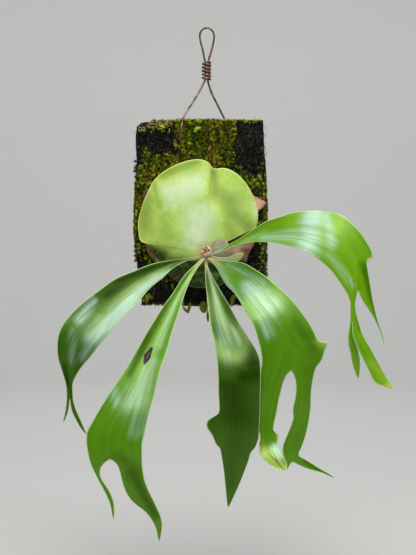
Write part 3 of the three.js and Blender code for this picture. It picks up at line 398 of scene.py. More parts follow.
SLAB_LEFT = [
    [-70, -109.5], [-75, -115], [-76.5, -128], [-75, -155], [-77, -194], [-78, -221], [-76, -249],
    [-73, -276], [-70, -307]]
SLAB_RIGHT = [
    [61, -107], [62, -139], [64, -172], [65, -216], [63, -260], [62, -293], [61, -305]]
SLAB_TOP = [
    [-70, -109.5], [-40, -107], [-7, -106], [26, -107], [61, -107]]
SLAB_BOTTOM = [
    [-70, -307], [-45, -305], [-18, -307], [10, -308], [37, -306], [61, -305]]
WIRE_ROUTE = [
    [-1.35, -9, -47], [-1.35, -9, -56.5], [-3.9, -10, -63], [-8.3, -12.5, -72], [-15, -16, -84],
    [-21.6, -20, -94.5], [-25.3, -24.5, -103], [-27.3, -29.5, -115], [-28.6, -30.3, -122],
    [-29.4, -28.4, -128], [-29.5, -23, -129.6], [-29.5, -13, -130], [-29.4, -4.2, -130],
    [-27.6, -1.4, -129], [-14, -1.3, -122.4], [3, -1.3, -114.2], [17, -1.4, -107], [20.4, -2.4, -102],
    [16.3, -4.5, -92.7], [11.8, -5.8, -84], [6.2, -7.4, -73], [2.6, -8.7, -63], [1.35, -9, -56.5],
    [1.35, -9, -47], [1.35, -9, -38.5], [2.4, -8.6, -35], [5.1, -8, -26], [7.7, -7.5, -15], [8.3, -7.2, -7],
    [5.6, -7, -1.2], [0.5, -7, 1.1], [-4.6, -7, -1.2], [-7.3, -7.2, -6.5], [-6.7, -7.5, -14], [-4, -8, -26],
    [-2.2, -8.6, -35], [-1.35, -9, -38.5], [-1.35, -9, -46.6]]
# x, y and z of the middle of each cluster of tiny leaves, its leaf size and leaf count
LEAF_CLUSTERS = [
    [-67, -31, -246, 4.4, 4], [-76, -22, -185, 3, 5], [-77, -20, -205, 3, 5], [63, -22, -255, 3.2, 6],
    [64, -22, -282, 3.2, 6], [-62, -29, -299, 3, 3]]
# root x and z, tip x and z, width and depth of each larger leaf
CREEPING_LEAVES = [
    [-62.9, -296, -65.1, -307, 3.2, -30], [-64, -300, -58, -301, 3, -30.5],
    [-37.7, -285, -36.6, -293, 2.8, -30], [-17.5, -306, -20.4, -318.6, 3.6, -30],
    [-26, -311, -19.6, -318.2, 3.4, -31], [-25.5, -304, -25.8, -312, 1.4, -30],
    [-3.8, -305, -2.7, -318, 9.6, -29], [0.4, -304, 1, -316, 1.2, -28.5], [1.2, -315, 1.8, -328, 3.2, -30],
    [29.1, -298, 27.2, -311, 5, -30], [29.6, -300, 35, -299, 3.4, -31]]
FRESH_LEAVES = [
    [-13, -116.4, -5.6, -115.6, 3.4, -31.5], [-10, -118, -14, -119.5, 2.2, -31],
    [-50, -113, -46, -115, 3, -31.5]]


# ---------------------------------------------------------------- meshes
def new_piece(name: str, bm: Net, outward: bool = False) -> Piece:
    """Turns a finished net into an object at the origin and frees the net.

    Args:
        name: The piece's name.
        bm: The net, in metres.
        outward: True to turn a closed shell's faces outwards first.

    Returns:
        The linked object, smooth shaded.
    """
    if outward:
        bmesh.ops.recalc_face_normals(bm, faces=bm.faces[:])
    mesh = bpy.data.meshes.new(name)
    bm.to_mesh(mesh)
    bm.free()
    mesh.shade_smooth()
    piece = bpy.data.objects.new(name, mesh)
    bpy.context.collection.objects.link(piece)
    return piece


def dress(piece: Piece, slot: Slot, material: Material, *nodes: str) -> None:
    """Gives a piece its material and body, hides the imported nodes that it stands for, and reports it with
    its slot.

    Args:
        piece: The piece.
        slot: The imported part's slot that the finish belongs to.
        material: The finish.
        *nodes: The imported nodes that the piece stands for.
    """
    piece.data.materials.clear()
    piece.data.materials.append(material)
    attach(piece, "root")
    if nodes:
        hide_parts(*nodes)
    log.info("%s: %d vertices, slot %s, for %s", piece.name, len(piece.data.vertices),
             slot.value, ", ".join(nodes) or "the looks alone")


def soften(piece: Piece) -> None:
    """Rounds a piece with one level of subdivision, the same in the view and the render.

    Args:
        piece: The piece.
    """
    modifier = piece.modifiers.new("rounding", "SUBSURF")
    modifier.levels = 1
    modifier.render_levels = 1


def thicken(piece: Piece, thickness: float, offset: float = 0.0) -> bpy.types.Modifier:
    """Gives a sheet its thickness.

    Args:
        piece: The sheet.
        thickness: The thickness, in millimetres.
        offset: 0 to grow both ways, or -1 to grow to the back of the faces alone.

    Returns:
        The modifier.
    """
    modifier = piece.modifiers.new("thickness", "SOLIDIFY")
    modifier.thickness = thickness * MM
    modifier.offset = offset
    return modifier


def start_row(bm: Net, points: Sequence[Vector], closed: bool = False) -> list[Vert]:
    """Makes the first row of a net.

    Args:
        bm: The net.
        points: Places of the row's vertices.
        closed: True if the row returns to its first vertex.

    Returns:
        The row's vertices in order.
    """
    row = [bmesh.ops.create_vert(bm, co=point)["vert"][0] for point in points]
    for a, b in zip(row, row[1:]):
        bm.edges.new((a, b))
    if closed:
        bm.edges.new((row[-1], row[0]))
    return row


def add_row(bm: Net, row: Sequence[Vert], points: Sequence[Vector], closed: bool = False
            ) -> list[Vert]:
    """Grows a net by one row: extrudes its last row's edges and moves the new vertices.

    Args:
        bm: The net.
        row: The last row's vertices in order, or none to start the net.
        points: Places of the new row's vertices.
        closed: True if the row returns to its first vertex.

    Returns:
        The new row's vertices in order.
    """
    if not row:
        return start_row(bm, points, closed)
    pairs = list(zip(row, row[1:])) + ([(row[-1], row[0])] if closed else [])
    made = bmesh.ops.extrude_edge_only(bm, edges=[bm.edges.get(pair) for pair in pairs])["geom"]
    fresh = new_neighbours(row, made)
    for vertex, point in zip(fresh, points):
        vertex.co = point
    return fresh


def new_neighbours(row: Iterable[Vert], made: Sequence[object]) -> list[Vert]:
    """Returns the extruded vertex that each vertex of a row is joined to.

    Args:
        row: The vertices that were extruded.
        made: What the extrusion made.

    Returns:
        The new vertices in the row's order.
    """
    fresh = {item for item in made if isinstance(item, Vert)}
    return [next(e.other_vert(v) for e in v.link_edges if e.other_vert(v) in fresh) for v in row]


def sweep(bm: Net, path: Sequence[Vector], radius: Callable[[float], float], sides: int) -> None:
    """Draws a round tube with closed ends along a path.

    Args:
        bm: The net that takes the tube.
        path: The path's points.
        radius: Radius for a share of the way along the path, in metres.
        sides: Number of sides.
    """
    last = len(path) - 1
    normal = Vector(SWEEP_START)
    row: list[Vert] = []
    first = row
    for i, centre in enumerate(path):
        ahead = (path[min(i + 1, last)] - path[max(i - 1, 0)]).normalized()
        normal = (normal - ahead * normal.dot(ahead)).normalized()
        other = ahead.cross(normal)
        angles = (FULL_TURN * k / sides for k in range(sides))
        ring = [centre + (normal * math.cos(a) + other * math.sin(a)) * radius(i / last)
                for a in angles]
        row = add_row(bm, row, ring, closed=True)
        first = first or row
    for ring in (first, row):
        bmesh.ops.contextual_create(bm, geom=ring)


def lathe(section: Sequence[Sequence[float]], centre: Spot, steps: int) -> Net:
    """Spins a section about a line that runs from front to back.

    Args:
        section: Distance from the line and depth of each point, in millimetres.
        centre: The line's x and z, in millimetres.
        steps: Number of steps round the line.

    Returns:
        The new net.
    """
    bm = bmesh.new()
    x, z = centre
    start_row(bm, [Vector((x + reach, depth, z)) * MM for reach, depth in section])
    bmesh.ops.spin(bm, geom=bm.verts[:] + bm.edges[:], cent=Vector((x, 0, z)) * MM,
                   axis=(0, 1, 0), angle=FULL_TURN, steps=steps, use_merge=True)
    bmesh.ops.remove_doubles(bm, verts=bm.verts[:], dist=WELD)
    return bm


def stamp(bm: Net, pattern: bpy.types.Mesh, matrix: Matrix) -> None:
    """Adds a copy of a pattern to a net.

    Args:
        bm: The net that takes the copy.
        pattern: The pattern.
        matrix: The copy's place, turn and scale.
    """
    copy = pattern.copy()
    copy.transform(matrix)
    bm.from_mesh(copy)
    bpy.data.meshes.remove(copy)


def relax(bm: Net, verts: list[Vert], times: int, whole: bool) -> None:
    """Smooths part of a net.

    Args:
        bm: The net.
        verts: The vertices that may move.
        times: Number of rounds.
        whole: True to move them every way, or False to move them in depth alone.
    """
    for _ in range(times):
        bmesh.ops.smooth_vert(bm, verts=verts, factor=0.5, use_axis_x=whole, use_axis_y=True,
                              use_axis_z=whole)


def turn_faces(bm: Net, way: Vector) -> None:
    """Turns an open sheet's faces towards a direction.

    Args:
        bm: The sheet.
        way: The direction.
    """
    bm.normal_update()
    if sum(f.normal.dot(way) * f.calc_area() for f in bm.faces) < 0:
        bmesh.ops.reverse_faces(bm, faces=bm.faces[:])


def lay_uv(bm: Net, name: str, place: Callable[[Vert], Spot]) -> None:
    """Gives a net a UV map.

    Args:
        bm: The net.
        name: The map's name.
        place: Returns a vertex's place on the map.
    """
    uv = bm.loops.layers.uv.new(name)
    for face in bm.faces:
        for loop in face.loops:
            loop[uv].uv = place(loop.vert)


def keep_values(piece: Piece, **layers: Sequence[float]) -> None:
    """Stores numbers for each vertex of a piece.

    Args:
        piece: The piece.
        **layers: The numbers of each attribute, in the order of the vertices.
    """
    for name, values in layers.items():
        layer = piece.data.attributes.new(name, "FLOAT", "POINT")
        layer.data.foreach_set("value", np.asarray(values, dtype=np.float32))


def rim_distances(bm: Net) -> list[float]:
    """Measures how far each vertex of an open sheet is from the sheet's rim.

    Args:
        bm: The sheet.

    Returns:
        The distances in metres, in the order of the vertices.
    """
    rim = [e for e in bm.edges if e.is_boundary]
    starts = np.array([e.verts[0].co for e in rim])
    along = np.array([e.verts[1].co for e in rim]) - starts
    length = np.maximum((along ** 2).sum(axis=1), TINY)
    best = []
    for vertex in bm.verts:
        away = np.array(vertex.co) - starts
        share = np.clip((away * along).sum(axis=1) / length, 0, 1)
        best.append(float(np.sqrt(((away - along * share[:, None]) ** 2).sum(axis=1).min())))
    return best


@dataclass(frozen=True)
class Stroke:
    """A soft stroke of tone on a leaf, seen from the front, in millimetres."""

    start: Spot
    end: Spot
    widths: Spot
    tone: float

    def at(self, x: float, z: float) -> float:
        """Finds the stroke's tone at a point, about half of it one width from its line.

        Args:
            x, z: The point.

        Returns:
            The tone.
        """
        dx, dz = self.end[0] - self.start[0], self.end[1] - self.start[1]
        reach = max(dx * dx + dz * dz, TINY)
        share = min(1.0, max(0.0, ((x - self.start[0]) * dx + (z - self.start[1]) * dz) / reach))
        away = math.hypot(x - self.start[0] - dx * share, z - self.start[1] - dz * share)
        return self.tone * math.exp(-STROKE_FALL * (away / mix(*self.widths, share)) ** 2)


def strokes(*rows: Sequence[float]) -> tuple[Stroke, ...]:
    """Makes strokes from rows of start x and z, end x and z, both widths and the tone."""
    return tuple(Stroke(row[:2], row[2:4], row[4:6], row[6]) for row in rows)


def stroked(points: Iterable[Vector], strokes: Sequence[Stroke]) -> list[float]:
    """Adds the strongest pale stroke and the strongest dark one at each point.

    Args:
        points: Points in metres.
        strokes: The strokes.

    Returns:
        A tone for each point: above 0 where it is pale, below 0 where it is dark.
    """
    tones = [[s.at(p.x / MM, p.z / MM) for s in strokes] for p in points]
    return [max([0.0, *tone]) + min([0.0, *tone]) for tone in tones]


# ---------------------------------------------------------------- finishes
@dataclass(frozen=True)
class Grain:
    """A noise pattern: its stretch along each axis, and how it is broken up."""

    stretch: Point
    detail: float = 4.0
    roughness: float = 0.6
    swirl: float = 0.0
    turn: Point = (0, 0, 0)


class Graph:
    """A material's node tree, with short calls for the nodes that the finishes share."""

    def __init__(self, name: str) -> None:
        """Starts a material with an empty principled surface.

        Args:
            name: The material's name.
        """
        self.material = bpy.data.materials.new(name)
        self.material.use_nodes = True
        self.tree = self.material.node_tree
        self.tree.nodes.clear()
        self.surface = self.tree.nodes.new("ShaderNodeBsdfPrincipled")
        output = self.tree.nodes.new("ShaderNodeOutputMaterial")
        self.tree.links.new(self.surface.outputs["BSDF"], output.inputs["Surface"])

    def feed(self, socket: Socket, value: object) -> None:
        """Links a socket to an output or sets its value.

        Args:
            socket: The socket.
            value: An output, a number, or three numbers for a colour or a vector.
        """
        if isinstance(value, Socket):
            self.tree.links.new(value, socket)
        elif isinstance(value, tuple) and socket.type == "RGBA":
            socket.default_value = (*value, 1.0)
        else:
            socket.default_value = value

    def make(self, kind: str, output: object, inputs: dict, **settings: object) -> Socket:
        """Adds a node.

        Args:
            kind: The node's kind, without the prefix that all shader nodes share.
            output: Name or number of the output that is wanted.
            inputs: What feeds each input, by its name or number.
            **settings: The node's properties.

        Returns:
            The output.
        """
        made = self.tree.nodes.new("ShaderNode" + kind)
        for key, value in settings.items():
            setattr(made, key, value)
        for key, value in inputs.items():
            self.feed(made.inputs[key], value)
        return made.outputs[output]

    def place(self) -> Socket:
        """Returns the object's own coordinates."""
        return self.make("TexCoord", "Object", {})

    def uv(self, name: str) -> Socket:
        """Returns a UV map of the piece."""
        return self.make("UVMap", "UV", {}, uv_map=name)

    def attribute(self, name: str) -> Socket:
        """Returns a number stored on the piece's vertices."""
        return self.make("Attribute", "Fac", {}, attribute_name=name)

    def grain(self, vector: Socket, grain: Grain) -> Socket:
        """Returns a stretched pattern between 0 and 1."""
        inputs = {"Vector": vector, "Scale": grain.stretch, "Rotation": grain.turn}
        return self.noise(self.make("Mapping", "Vector", inputs), 1.0, grain.detail,
                          grain.roughness, grain.swirl)

    def noise(self, vector: Socket, scale: float, detail: float, roughness: float = 0.5,
              distortion: float = 0.0) -> Socket:
        """Returns a cloudy pattern between 0 and 1."""
        return self.make("TexNoise", "Fac", {
            "Vector": vector, "Scale": scale, "Detail": detail, "Roughness": roughness,
            "Distortion": distortion})

    def axis(self, vector: Socket, name: str) -> Socket:
        """Returns one coordinate of a vector."""
        return self.make("SeparateXYZ", name, {"Vector": vector})

    def linear(self, value: Socket, low: float, high: float, least: float = 0.0,
               most: float = 1.0, **settings: object) -> Socket:
        """Returns a value remapped from low..high to least..most and kept within them."""
        return self.make("MapRange", "Result", {
            "Value": value, "From Min": low, "From Max": high, "To Min": least,
            "To Max": most}, **settings)

    def span(self, value: Socket, low: float, high: float, least: float = 0.0,
             most: float = 1.0) -> Socket:
        """Returns a value remapped like `linear`, but eased at both ends."""
        return self.linear(value, low, high, least, most, interpolation_type="SMOOTHSTEP")

    def plus(self, a: object, b: object) -> Socket:
        """Returns the sum of two numbers."""
        return self.make("Math", 0, {0: a, 1: b}, operation="ADD")

    def times(self, a: object, b: object) -> Socket:
        """Returns the product of two numbers."""
        return self.make("Math", 0, {0: a, 1: b}, operation="MULTIPLY")

    def blend(self, share: object, under: object, over: object) -> Socket:
        """Returns a colour with a share of another one over it."""
        return self.make("Mix", 2, {0: share, 6: under, 7: over}, data_type="RGBA")

    def cover(self, under: object, over: object, value: Socket, low: float, high: float,
              least: float = 0.0, most: float = 1.0) -> Socket:
        """Returns a colour that another one covers as a value runs from low to high."""
        return self.blend(self.span(value, low, high, least, most), under, over)

    def bump(self, height: Socket, distance: float, strength: float = 1.0,
             under: Optional[Socket] = None) -> Socket:
        """Returns a normal roughened by a height, over another one if given."""
        inputs = {"Strength": strength, "Distance": distance, "Height": height}
        return self.make("Bump", "Normal", inputs | ({"Normal": under} if under else {}))

    def finish(self, colour: object, roughness: object, normal: Optional[Socket],
               **sockets: object) -> Material:
        """Feeds the surface.

        Args:
            colour: Base colour.
            roughness: Roughness.
            normal: Normal, or None for the mesh's own.
            **sockets: Other sockets by name, with underscores for spaces.

        Returns:
            The material.
        """
        self.feed(self.surface.inputs["Base Color"], colour)
        self.feed(self.surface.inputs["Roughness"], roughness)
        if normal:
            self.feed(self.surface.inputs["Normal"], normal)
        for key, value in sockets.items():
            self.feed(self.surface.inputs[key.replace("_", " ")], value)
        return self.material


@dataclass(frozen=True)
class BladeFinish:
    """Leathery green blade with fine fibres along it, a pale rim, and painted highlight and painted shade;
    the painted highlight is partly a felt of pale hairs.
    """

    name: str = "frond_green"
    # deep is also the colour of painted shade
    deep: Colour = shade(26, 54, 0)
    full: Colour = shade(80, 136, 2)
    # felt is the colour of painted highlight, partly a felt of pale hairs
    felt: Colour = shade(184, 216, 200)
    rim: Colour = shade(206, 228, 172)
    stalk: Colour = shade(172, 158, 114)
    spot: Colour = shade(34, 22, 34)
    spot_pale: Colour = shade(140, 118, 142)
    # pale yellow-green near some tips and teeth
    pale_yellow: Colour = shade(182, 206, 84)
    scar: Colour = shade(116, 88, 54)
    gloss: Colour = (0.7, 1.0, 0.34)
    # the next tint dims the gloss under painted shade
    gloss_dark: Colour = (0.1, 0.18, 0.04)
    fibres: Grain = Grain((60, 2.2, 1))
    bands: Grain = Grain((12, 1.3, 1), swirl=0.4)
    flecks: Grain = Grain((42, 9, 1), detail=3)
    cloud_size: float = 22.0
    hair_size: float = 1500.0
    hair_relief: float = 0.1 * MM
    rim_width: float = 0.8 * MM
    roughness: float = 0.31
    relief: float = 0.1 * MM

    def build(self) -> Material:
        """Makes the material from the blade's UV map, its tone of painted highlight and painted shade, and
        its marks.

        Returns:
            The material.
        """
        g = Graph(self.name)
        uv = g.uv("blade")
        fine, broad = g.grain(uv, self.fibres), g.grain(uv, self.bands)
        fleck = g.grain(uv, self.flecks)
        green = g.cover(self.full, self.deep, broad, 0.25, 0.6, 0.25, 0.0)
        green = g.cover(green, self.deep, fine, 0.4, 0.7, most=0.16)
        green = g.cover(green, self.deep, g.noise(g.place(), self.cloud_size, 3), 0.5, 0.75,
                        most=0.22)
        tone = g.attribute("tone")
        streaks = g.plus(g.span(fine, 0.25, 0.75, 0.82, 1.12), g.span(broad, 0.3, 0.7, -0.35, 0.25))
        # painted highlight: the felt colour where the tone is above 0
        pale = g.span(g.times(tone, streaks), 0.03, 1.0)
        bare = g.span(fleck, 0.56, 0.72, 1.0, 0.5)
        green = g.blend(g.times(pale, bare), green, self.felt)
        # painted shade: the deep colour where the tone is below 0
        dark = g.span(g.times(tone, g.span(fine, 0.3, 0.7, 0.85, 1.1)), -0.03, -1.3)
        green = g.blend(dark, green, self.deep)
        green = g.blend(g.attribute("pale_yellow"), green, self.pale_yellow)
        green = g.blend(g.attribute("stalk"), green, self.stalk)
        green = g.cover(green, self.rim, g.attribute("margin"), self.rim_width, 0.0, most=0.75)
        torn = g.plus(g.attribute("scar"), g.span(fleck, 0.3, 0.7, -0.2, 0.2))
        green = g.cover(green, self.scar, torn, 0.3, 0.6)
        blot = g.span(g.plus(g.attribute("spot"), g.span(fine, 0.3, 0.7, -0.05, 0.05)), 0.44, 0.54)
        green = g.blend(blot, green, g.cover(self.spot, self.spot_pale, fleck, 0.5, 0.62, most=0.6))
        hair = g.bump(g.noise(g.place(), self.hair_size, 2, 0.55), self.hair_relief, 0.6)
        # a little rougher under painted shade, with its gloss tinted darker there
        matt = g.plus(g.times(blot, 0.6), g.times(dark, 0.05))
        rough = g.span(fine, 0.2, 0.8, self.roughness - 0.05, self.roughness + 0.08)
        ridges = g.bump(g.plus(fine, g.times(broad, 1.5)), self.relief, 0.6, hair)
        return g.finish(green, g.plus(rough, matt), ridges, Specular_IOR_Level=0.7,
                        Specular_Tint=g.blend(dark, self.gloss, self.gloss_dark))


@dataclass(frozen=True)
class ShieldFinish:
    """Pale yellow-green shield with fine veins that spread from the crown, and painted highlight and
    painted shade.
    """

    name: str = "shield_green"
    deep: Colour = shade(150, 188, 82)
    full: Colour = shade(206, 232, 106)
    # the colour of painted highlight, then the colour of painted shade
    painted_highlight: Colour = shade(214, 232, 198)
    shadow: Colour = shade(24, 46, 4)
    root: Colour = shade(196, 176, 124)
    rim: Colour = shade(220, 230, 124)
    gloss: Colour = (0.9, 1.0, 0.45)
    veins: Grain = Grain((70, 2.5, 1), detail=5, swirl=0.3)
    cloud_size: float = 30.0
    mottle_size: float = 130.0
    rim_width: float = 1.4 * MM
    relief: float = 0.5 * MM

    def build(self) -> Material:
        """Makes the material from the shield's spokes and its tone of painted highlight and painted shade.

        Returns:
            The material.
        """
        g = Graph(self.name)
        place = g.place()
        veins = g.grain(g.uv("spokes"), self.veins)
        cloud = g.noise(place, self.cloud_size, 4, 0.55)
        mottle = g.noise(place, self.mottle_size, 4, 0.6)
        tone = g.times(g.attribute("tone"), g.span(cloud, 0.3, 0.7, 0.8, 1.1))
        green = g.cover(self.deep, self.full, cloud, 0.3, 0.7, 0.22, 0.78)
        green = g.cover(green, self.deep, veins, 0.3, 0.75, most=0.4)
        # painted highlight where the tone is above 0, painted shade where it is below 0
        green = g.blend(g.linear(tone, 0.0, 1.0), green, self.painted_highlight)
        green = g.blend(g.linear(tone, 0.0, -1.0), green, self.shadow)
        rim = g.span(g.attribute("margin"), self.rim_width, 0.0, most=0.75)
        green = g.blend(g.times(rim, g.span(tone, -1.1, -0.4, 0.3, 1.0)), green, self.rim)
        green = g.cover(green, self.deep, mottle, 0.48, 0.7, most=0.26)
        # pale mottle in the colour of painted highlight, left out under painted shade
        lit = g.times(g.span(mottle, 0.52, 0.3, most=0.14), g.span(tone, -0.5, 0.0))
        green = g.blend(lit, green, self.painted_highlight)
        green = g.blend(g.attribute("root"), green, self.root)
        height = g.plus(g.plus(veins, mottle), g.times(cloud, 1.6))
        return g.finish(green, g.span(cloud, 0.3, 0.7, 0.42, 0.56),
                        g.bump(height, self.relief, 0.6), Specular_IOR_Level=0.4,
                        Specular_Tint=self.gloss)


@dataclass(frozen=True)
class DryFinish:
    """Brown papery shield of an older year, with darker veins, and painted highlight and painted shade."""

    name: str = "dry_brown"
    dark: Colour = shade(92, 58, 40)
    full: Colour = shade(168, 118, 88)
    # light is also the colour of painted highlight, and deep is the colour of painted shade
    light: Colour = shade(224, 176, 144)
    deep: Colour = shade(40, 26, 18)
    veins: Grain = Grain((55, 2, 1), detail=5, roughness=0.65, swirl=0.5)
    cloud_size: float = 60.0
    rim_width: float = 2 * MM
    relief: float = 0.8 * MM

    def build(self) -> Material:
        """Makes the material from the shield's spokes and its tone of painted highlight and painted shade.

        Returns:
            The material.
        """
        g = Graph(self.name)
        veins = g.grain(g.uv("spokes"), self.veins)
        cloud = g.noise(g.place(), self.cloud_size, 5, 0.6)
        tone = g.times(g.attribute("tone"), g.span(cloud, 0.3, 0.7, 0.7, 1.2))
        brown = g.cover(self.full, self.light, cloud, 0.35, 0.7)
        brown = g.cover(brown, self.dark, veins, 0.45, 0.75)
        # painted highlight where the tone is above 0, painted shade where it is below 0
        brown = g.blend(g.linear(tone, 0.0, 1.0), brown, self.light)
        brown = g.blend(g.linear(tone, 0.0, -1.0), brown, self.deep)
        brown = g.cover(brown, self.dark, g.attribute("margin"), self.rim_width, 0.0, most=0.6)
        return g.finish(brown, g.span(cloud, 0.3, 0.7, 0.6, 0.85),
                        g.bump(g.plus(veins, cloud), self.relief, 0.8))


@dataclass(frozen=True)
class FeltFinish:
    """Soft grey felt of pale hairs over the young shield."""

    name: str = "felt_grey"
    base: Colour = shade(128, 126, 88)
    hair: Colour = shade(168, 166, 130)
    rim: Colour = shade(190, 172, 104)
    fuzz_size: float = 900.0
    cloud_size: float = 90.0
    rim_width: float = 1.5 * MM
    relief: float = 0.3 * MM

    def build(self) -> Material:
        """Makes the material.

        Returns:
            The material.
        """
        g = Graph(self.name)
        fuzz = g.noise(g.place(), self.fuzz_size, 3, 0.7)
        cloud = g.noise(g.place(), self.cloud_size, 4, 0.6)
        colour = g.cover(self.base, self.hair, cloud, 0.3, 0.7)
        colour = g.cover(colour, self.hair, fuzz, 0.5, 0.8, most=0.6)
        colour = g.cover(colour, self.rim, g.attribute("margin"), self.rim_width, 0.0, most=0.7)
        return g.finish(colour, g.span(cloud, 0.3, 0.7, 0.7, 0.9),
                        g.bump(fuzz, self.relief, 0.8), Sheen_Weight=0.5, Sheen_Roughness=0.6)


@dataclass(frozen=True)
class ScaleFinish:
    """Chaffy bud scales, dark at their bases and paler towards the bud's tip."""

    name: str = "bud_scales"
    dark: Colour = shade(208, 122, 88)
    light: Colour = shade(255, 238, 208)
    streaks: Grain = Grain((18, 2, 1))
    cloud_size: float = 320.0
    relief: float = 0.25 * MM

    def build(self) -> Material:
        """Makes the material from each scale's UV map and its tone.

        Returns:
            The material.
        """
        g = Graph(self.name)
        uv = g.uv("blade")
        streaks = g.grain(uv, self.streaks)
        cloud = g.noise(g.place(), self.cloud_size, 3, 0.6)
        tone = g.plus(g.attribute("tone"), g.times(cloud, 0.5))
        colour = g.cover(self.dark, self.light, tone, 0.15, 1.0)
        colour = g.cover(colour, self.dark, g.axis(uv, "Y"), 0.7, 0.2, most=0.28)
        colour = g.cover(colour, self.dark, streaks, 0.5, 0.75, most=0.5)
        return g.finish(colour, g.span(cloud, 0.3, 0.7, 0.5, 0.75),
                        g.bump(streaks, self.relief, 0.8), Sheen_Weight=0.3, Sheen_Roughness=0.5)


@dataclass(frozen=True)
class BarkFinish:
    """Near-black matted fibre of the slab, with a fine granular film of moss and dead bits; the moss is
    darker in its gaps and brighter on its crests, partly painted shade and painted highlight.
    """

    name: str = "slab_fibre"
    black: Colour = shade(8, 8, 7)
    strand: Colour = shade(84, 82, 76)
    # the moss's gaps: partly dark fibre, partly painted shade
    gap: Colour = shade(14, 17, 2)
    film: Colour = shade(86, 104, 8)
    olive: Colour = shade(112, 98, 18)
    # the moss's crests: partly its own paler colour, partly painted highlight
    crest_and_highlight: Colour = shade(196, 204, 48)
    bits: Colour = shade(150, 112, 62)
    fibres: Grain = Grain((560, 560, 90), detail=5, roughness=0.72, swirl=0.8, turn=(0, 0.35, 0))
    crossings: Grain = Grain((170, 500, 520), roughness=0.65, swirl=1.6, turn=(0, 0.5, 0))
    lump_size: float = 60.0
    clump_size: float = 270.0
    patch_size: float = 38.0
    bit_size: float = 240.0
    relief: float = 1.6 * MM
    bare_back: tuple[float, float] = (-4 * MM, -1 * MM)

    def build(self) -> Material:
        """Makes the material: fibre, then moss where the tone says, then dead bits.

        Returns:
            The material.
        """
        g = Graph(self.name)
        place = g.place()
        fibre, crossing = g.grain(place, self.fibres), g.grain(place, self.crossings)
        lumps = g.noise(place, self.lump_size, 6, 0.68)
        clumps = g.noise(place, self.clump_size, 5, 0.74)
        patches = g.noise(place, self.patch_size, 3, 0.6)
        colour = g.cover(self.black, self.strand, fibre, 0.52, 0.74, most=0.8)
        colour = g.cover(colour, self.strand, crossing, 0.56, 0.7, most=0.85)
        moss = g.cover(self.film, self.olive, patches, 0.45, 0.62)
        # partly painted shade in the gaps between clumps, partly painted highlight on their crests
        moss = g.cover(self.gap, moss, clumps, 0.43, 0.54)
        moss = g.cover(moss, self.crest_and_highlight, clumps, 0.55, 0.66)
        reach = g.plus(g.attribute("tone"), g.span(lumps, 0.3, 0.7, -0.5, 0.5))
        reach = g.plus(reach, g.span(g.axis(place, "Y"), *self.bare_back, most=-0.35))
        ragged = g.plus(reach, g.span(clumps, 0.3, 0.7, -0.35, 0.35))
        colour = g.cover(colour, moss, ragged, -0.12, 0.3)
        colour = g.cover(colour, self.bits, g.noise(place, self.bit_size, 2), 0.71, 0.77, most=0.8)
        height = g.plus(g.plus(fibre, clumps), g.times(lumps, 1.5))
        return g.finish(colour, g.span(fibre, 0.3, 0.7, 0.85, 1.0), g.bump(height, self.relief),
                        Specular_IOR_Level=0.12)


@dataclass(frozen=True)
class TuftFinish:
    """Moss, root hairs or small leaves whose colour drifts from place to place."""

    name: str
    dark: Colour
    light: Colour
    drift: float
    roughness: float = 0.8
    fine_size: float = 700.0
    relief: float = 0.3 * MM

    def build(self) -> Material:
        """Makes the material.

        Returns:
            The material.
        """
        g = Graph(self.name)
        fine = g.noise(g.place(), self.fine_size, 2, 0.6)
        colour = g.cover(self.dark, self.light, g.noise(g.place(), self.drift, 4, 0.6), 0.35, 0.68)
        colour = g.cover(colour, self.dark, fine, 0.4, 0.7, most=0.45)
        return g.finish(colour, g.span(fine, 0.3, 0.7, self.roughness - 0.1, self.roughness + 0.1),
                        g.bump(fine, self.relief, 0.7), Specular_IOR_Level=0.15)


@dataclass(frozen=True)
class WireFinish:
    """Annealed copper wire, dulled and browned, with brighter rubbed places and painted shade under its
    binding.
    """

    name: str = "wire_copper"
    dull: Colour = shade(84, 58, 50)
    bright: Colour = shade(158, 114, 98)
    stain: Colour = shade(48, 36, 32)
    # the colour of painted shade on the strands inside the binding
    grime: Colour = shade(12, 8, 7)
    drawn: Grain = Grain((900, 900, 120), detail=3, roughness=0.5)
    cloud_size: float = 160.0
    relief: float = 0.1 * MM

    def build(self) -> Material:
        """Makes the material.

        Returns:
            The material.
        """
        g = Graph(self.name)
        cloud = g.noise(g.place(), self.cloud_size, 4, 0.6)
        drawn = g.grain(g.place(), self.drawn)
        colour = g.cover(self.dull, self.bright, cloud, 0.35, 0.65)
        colour = g.cover(colour, self.stain, drawn, 0.55, 0.75, most=0.6)
        # painted shade on the strands inside the binding
        colour = g.blend(g.attribute("grime"), colour, self.grime)
        return g.finish(colour, g.span(cloud, 0.3, 0.7, 0.5, 0.34),
                        g.bump(drawn, self.relief, 0.5), Metallic=0.7)


@dataclass(frozen=True)
class StageFinish:
    """Plain matt floor."""

    name: str = "stage_pale"
    tint: Colour = (0.78, 0.78, 0.77)
    speck: Colour = (0.7, 0.7, 0.7)
    speck_size: float = 3.0

    def build(self) -> Material:
        """Makes the material.

        Returns:
            The material.
        """
        g = Graph(self.name)
        specks = g.noise(g.place(), self.speck_size, 2, 0.55)
        tint = g.cover(self.tint, self.speck, specks, 0.2, 0.8, most=0.02)
        return g.finish(tint, 0.9, None, Specular_IOR_Level=0.1)


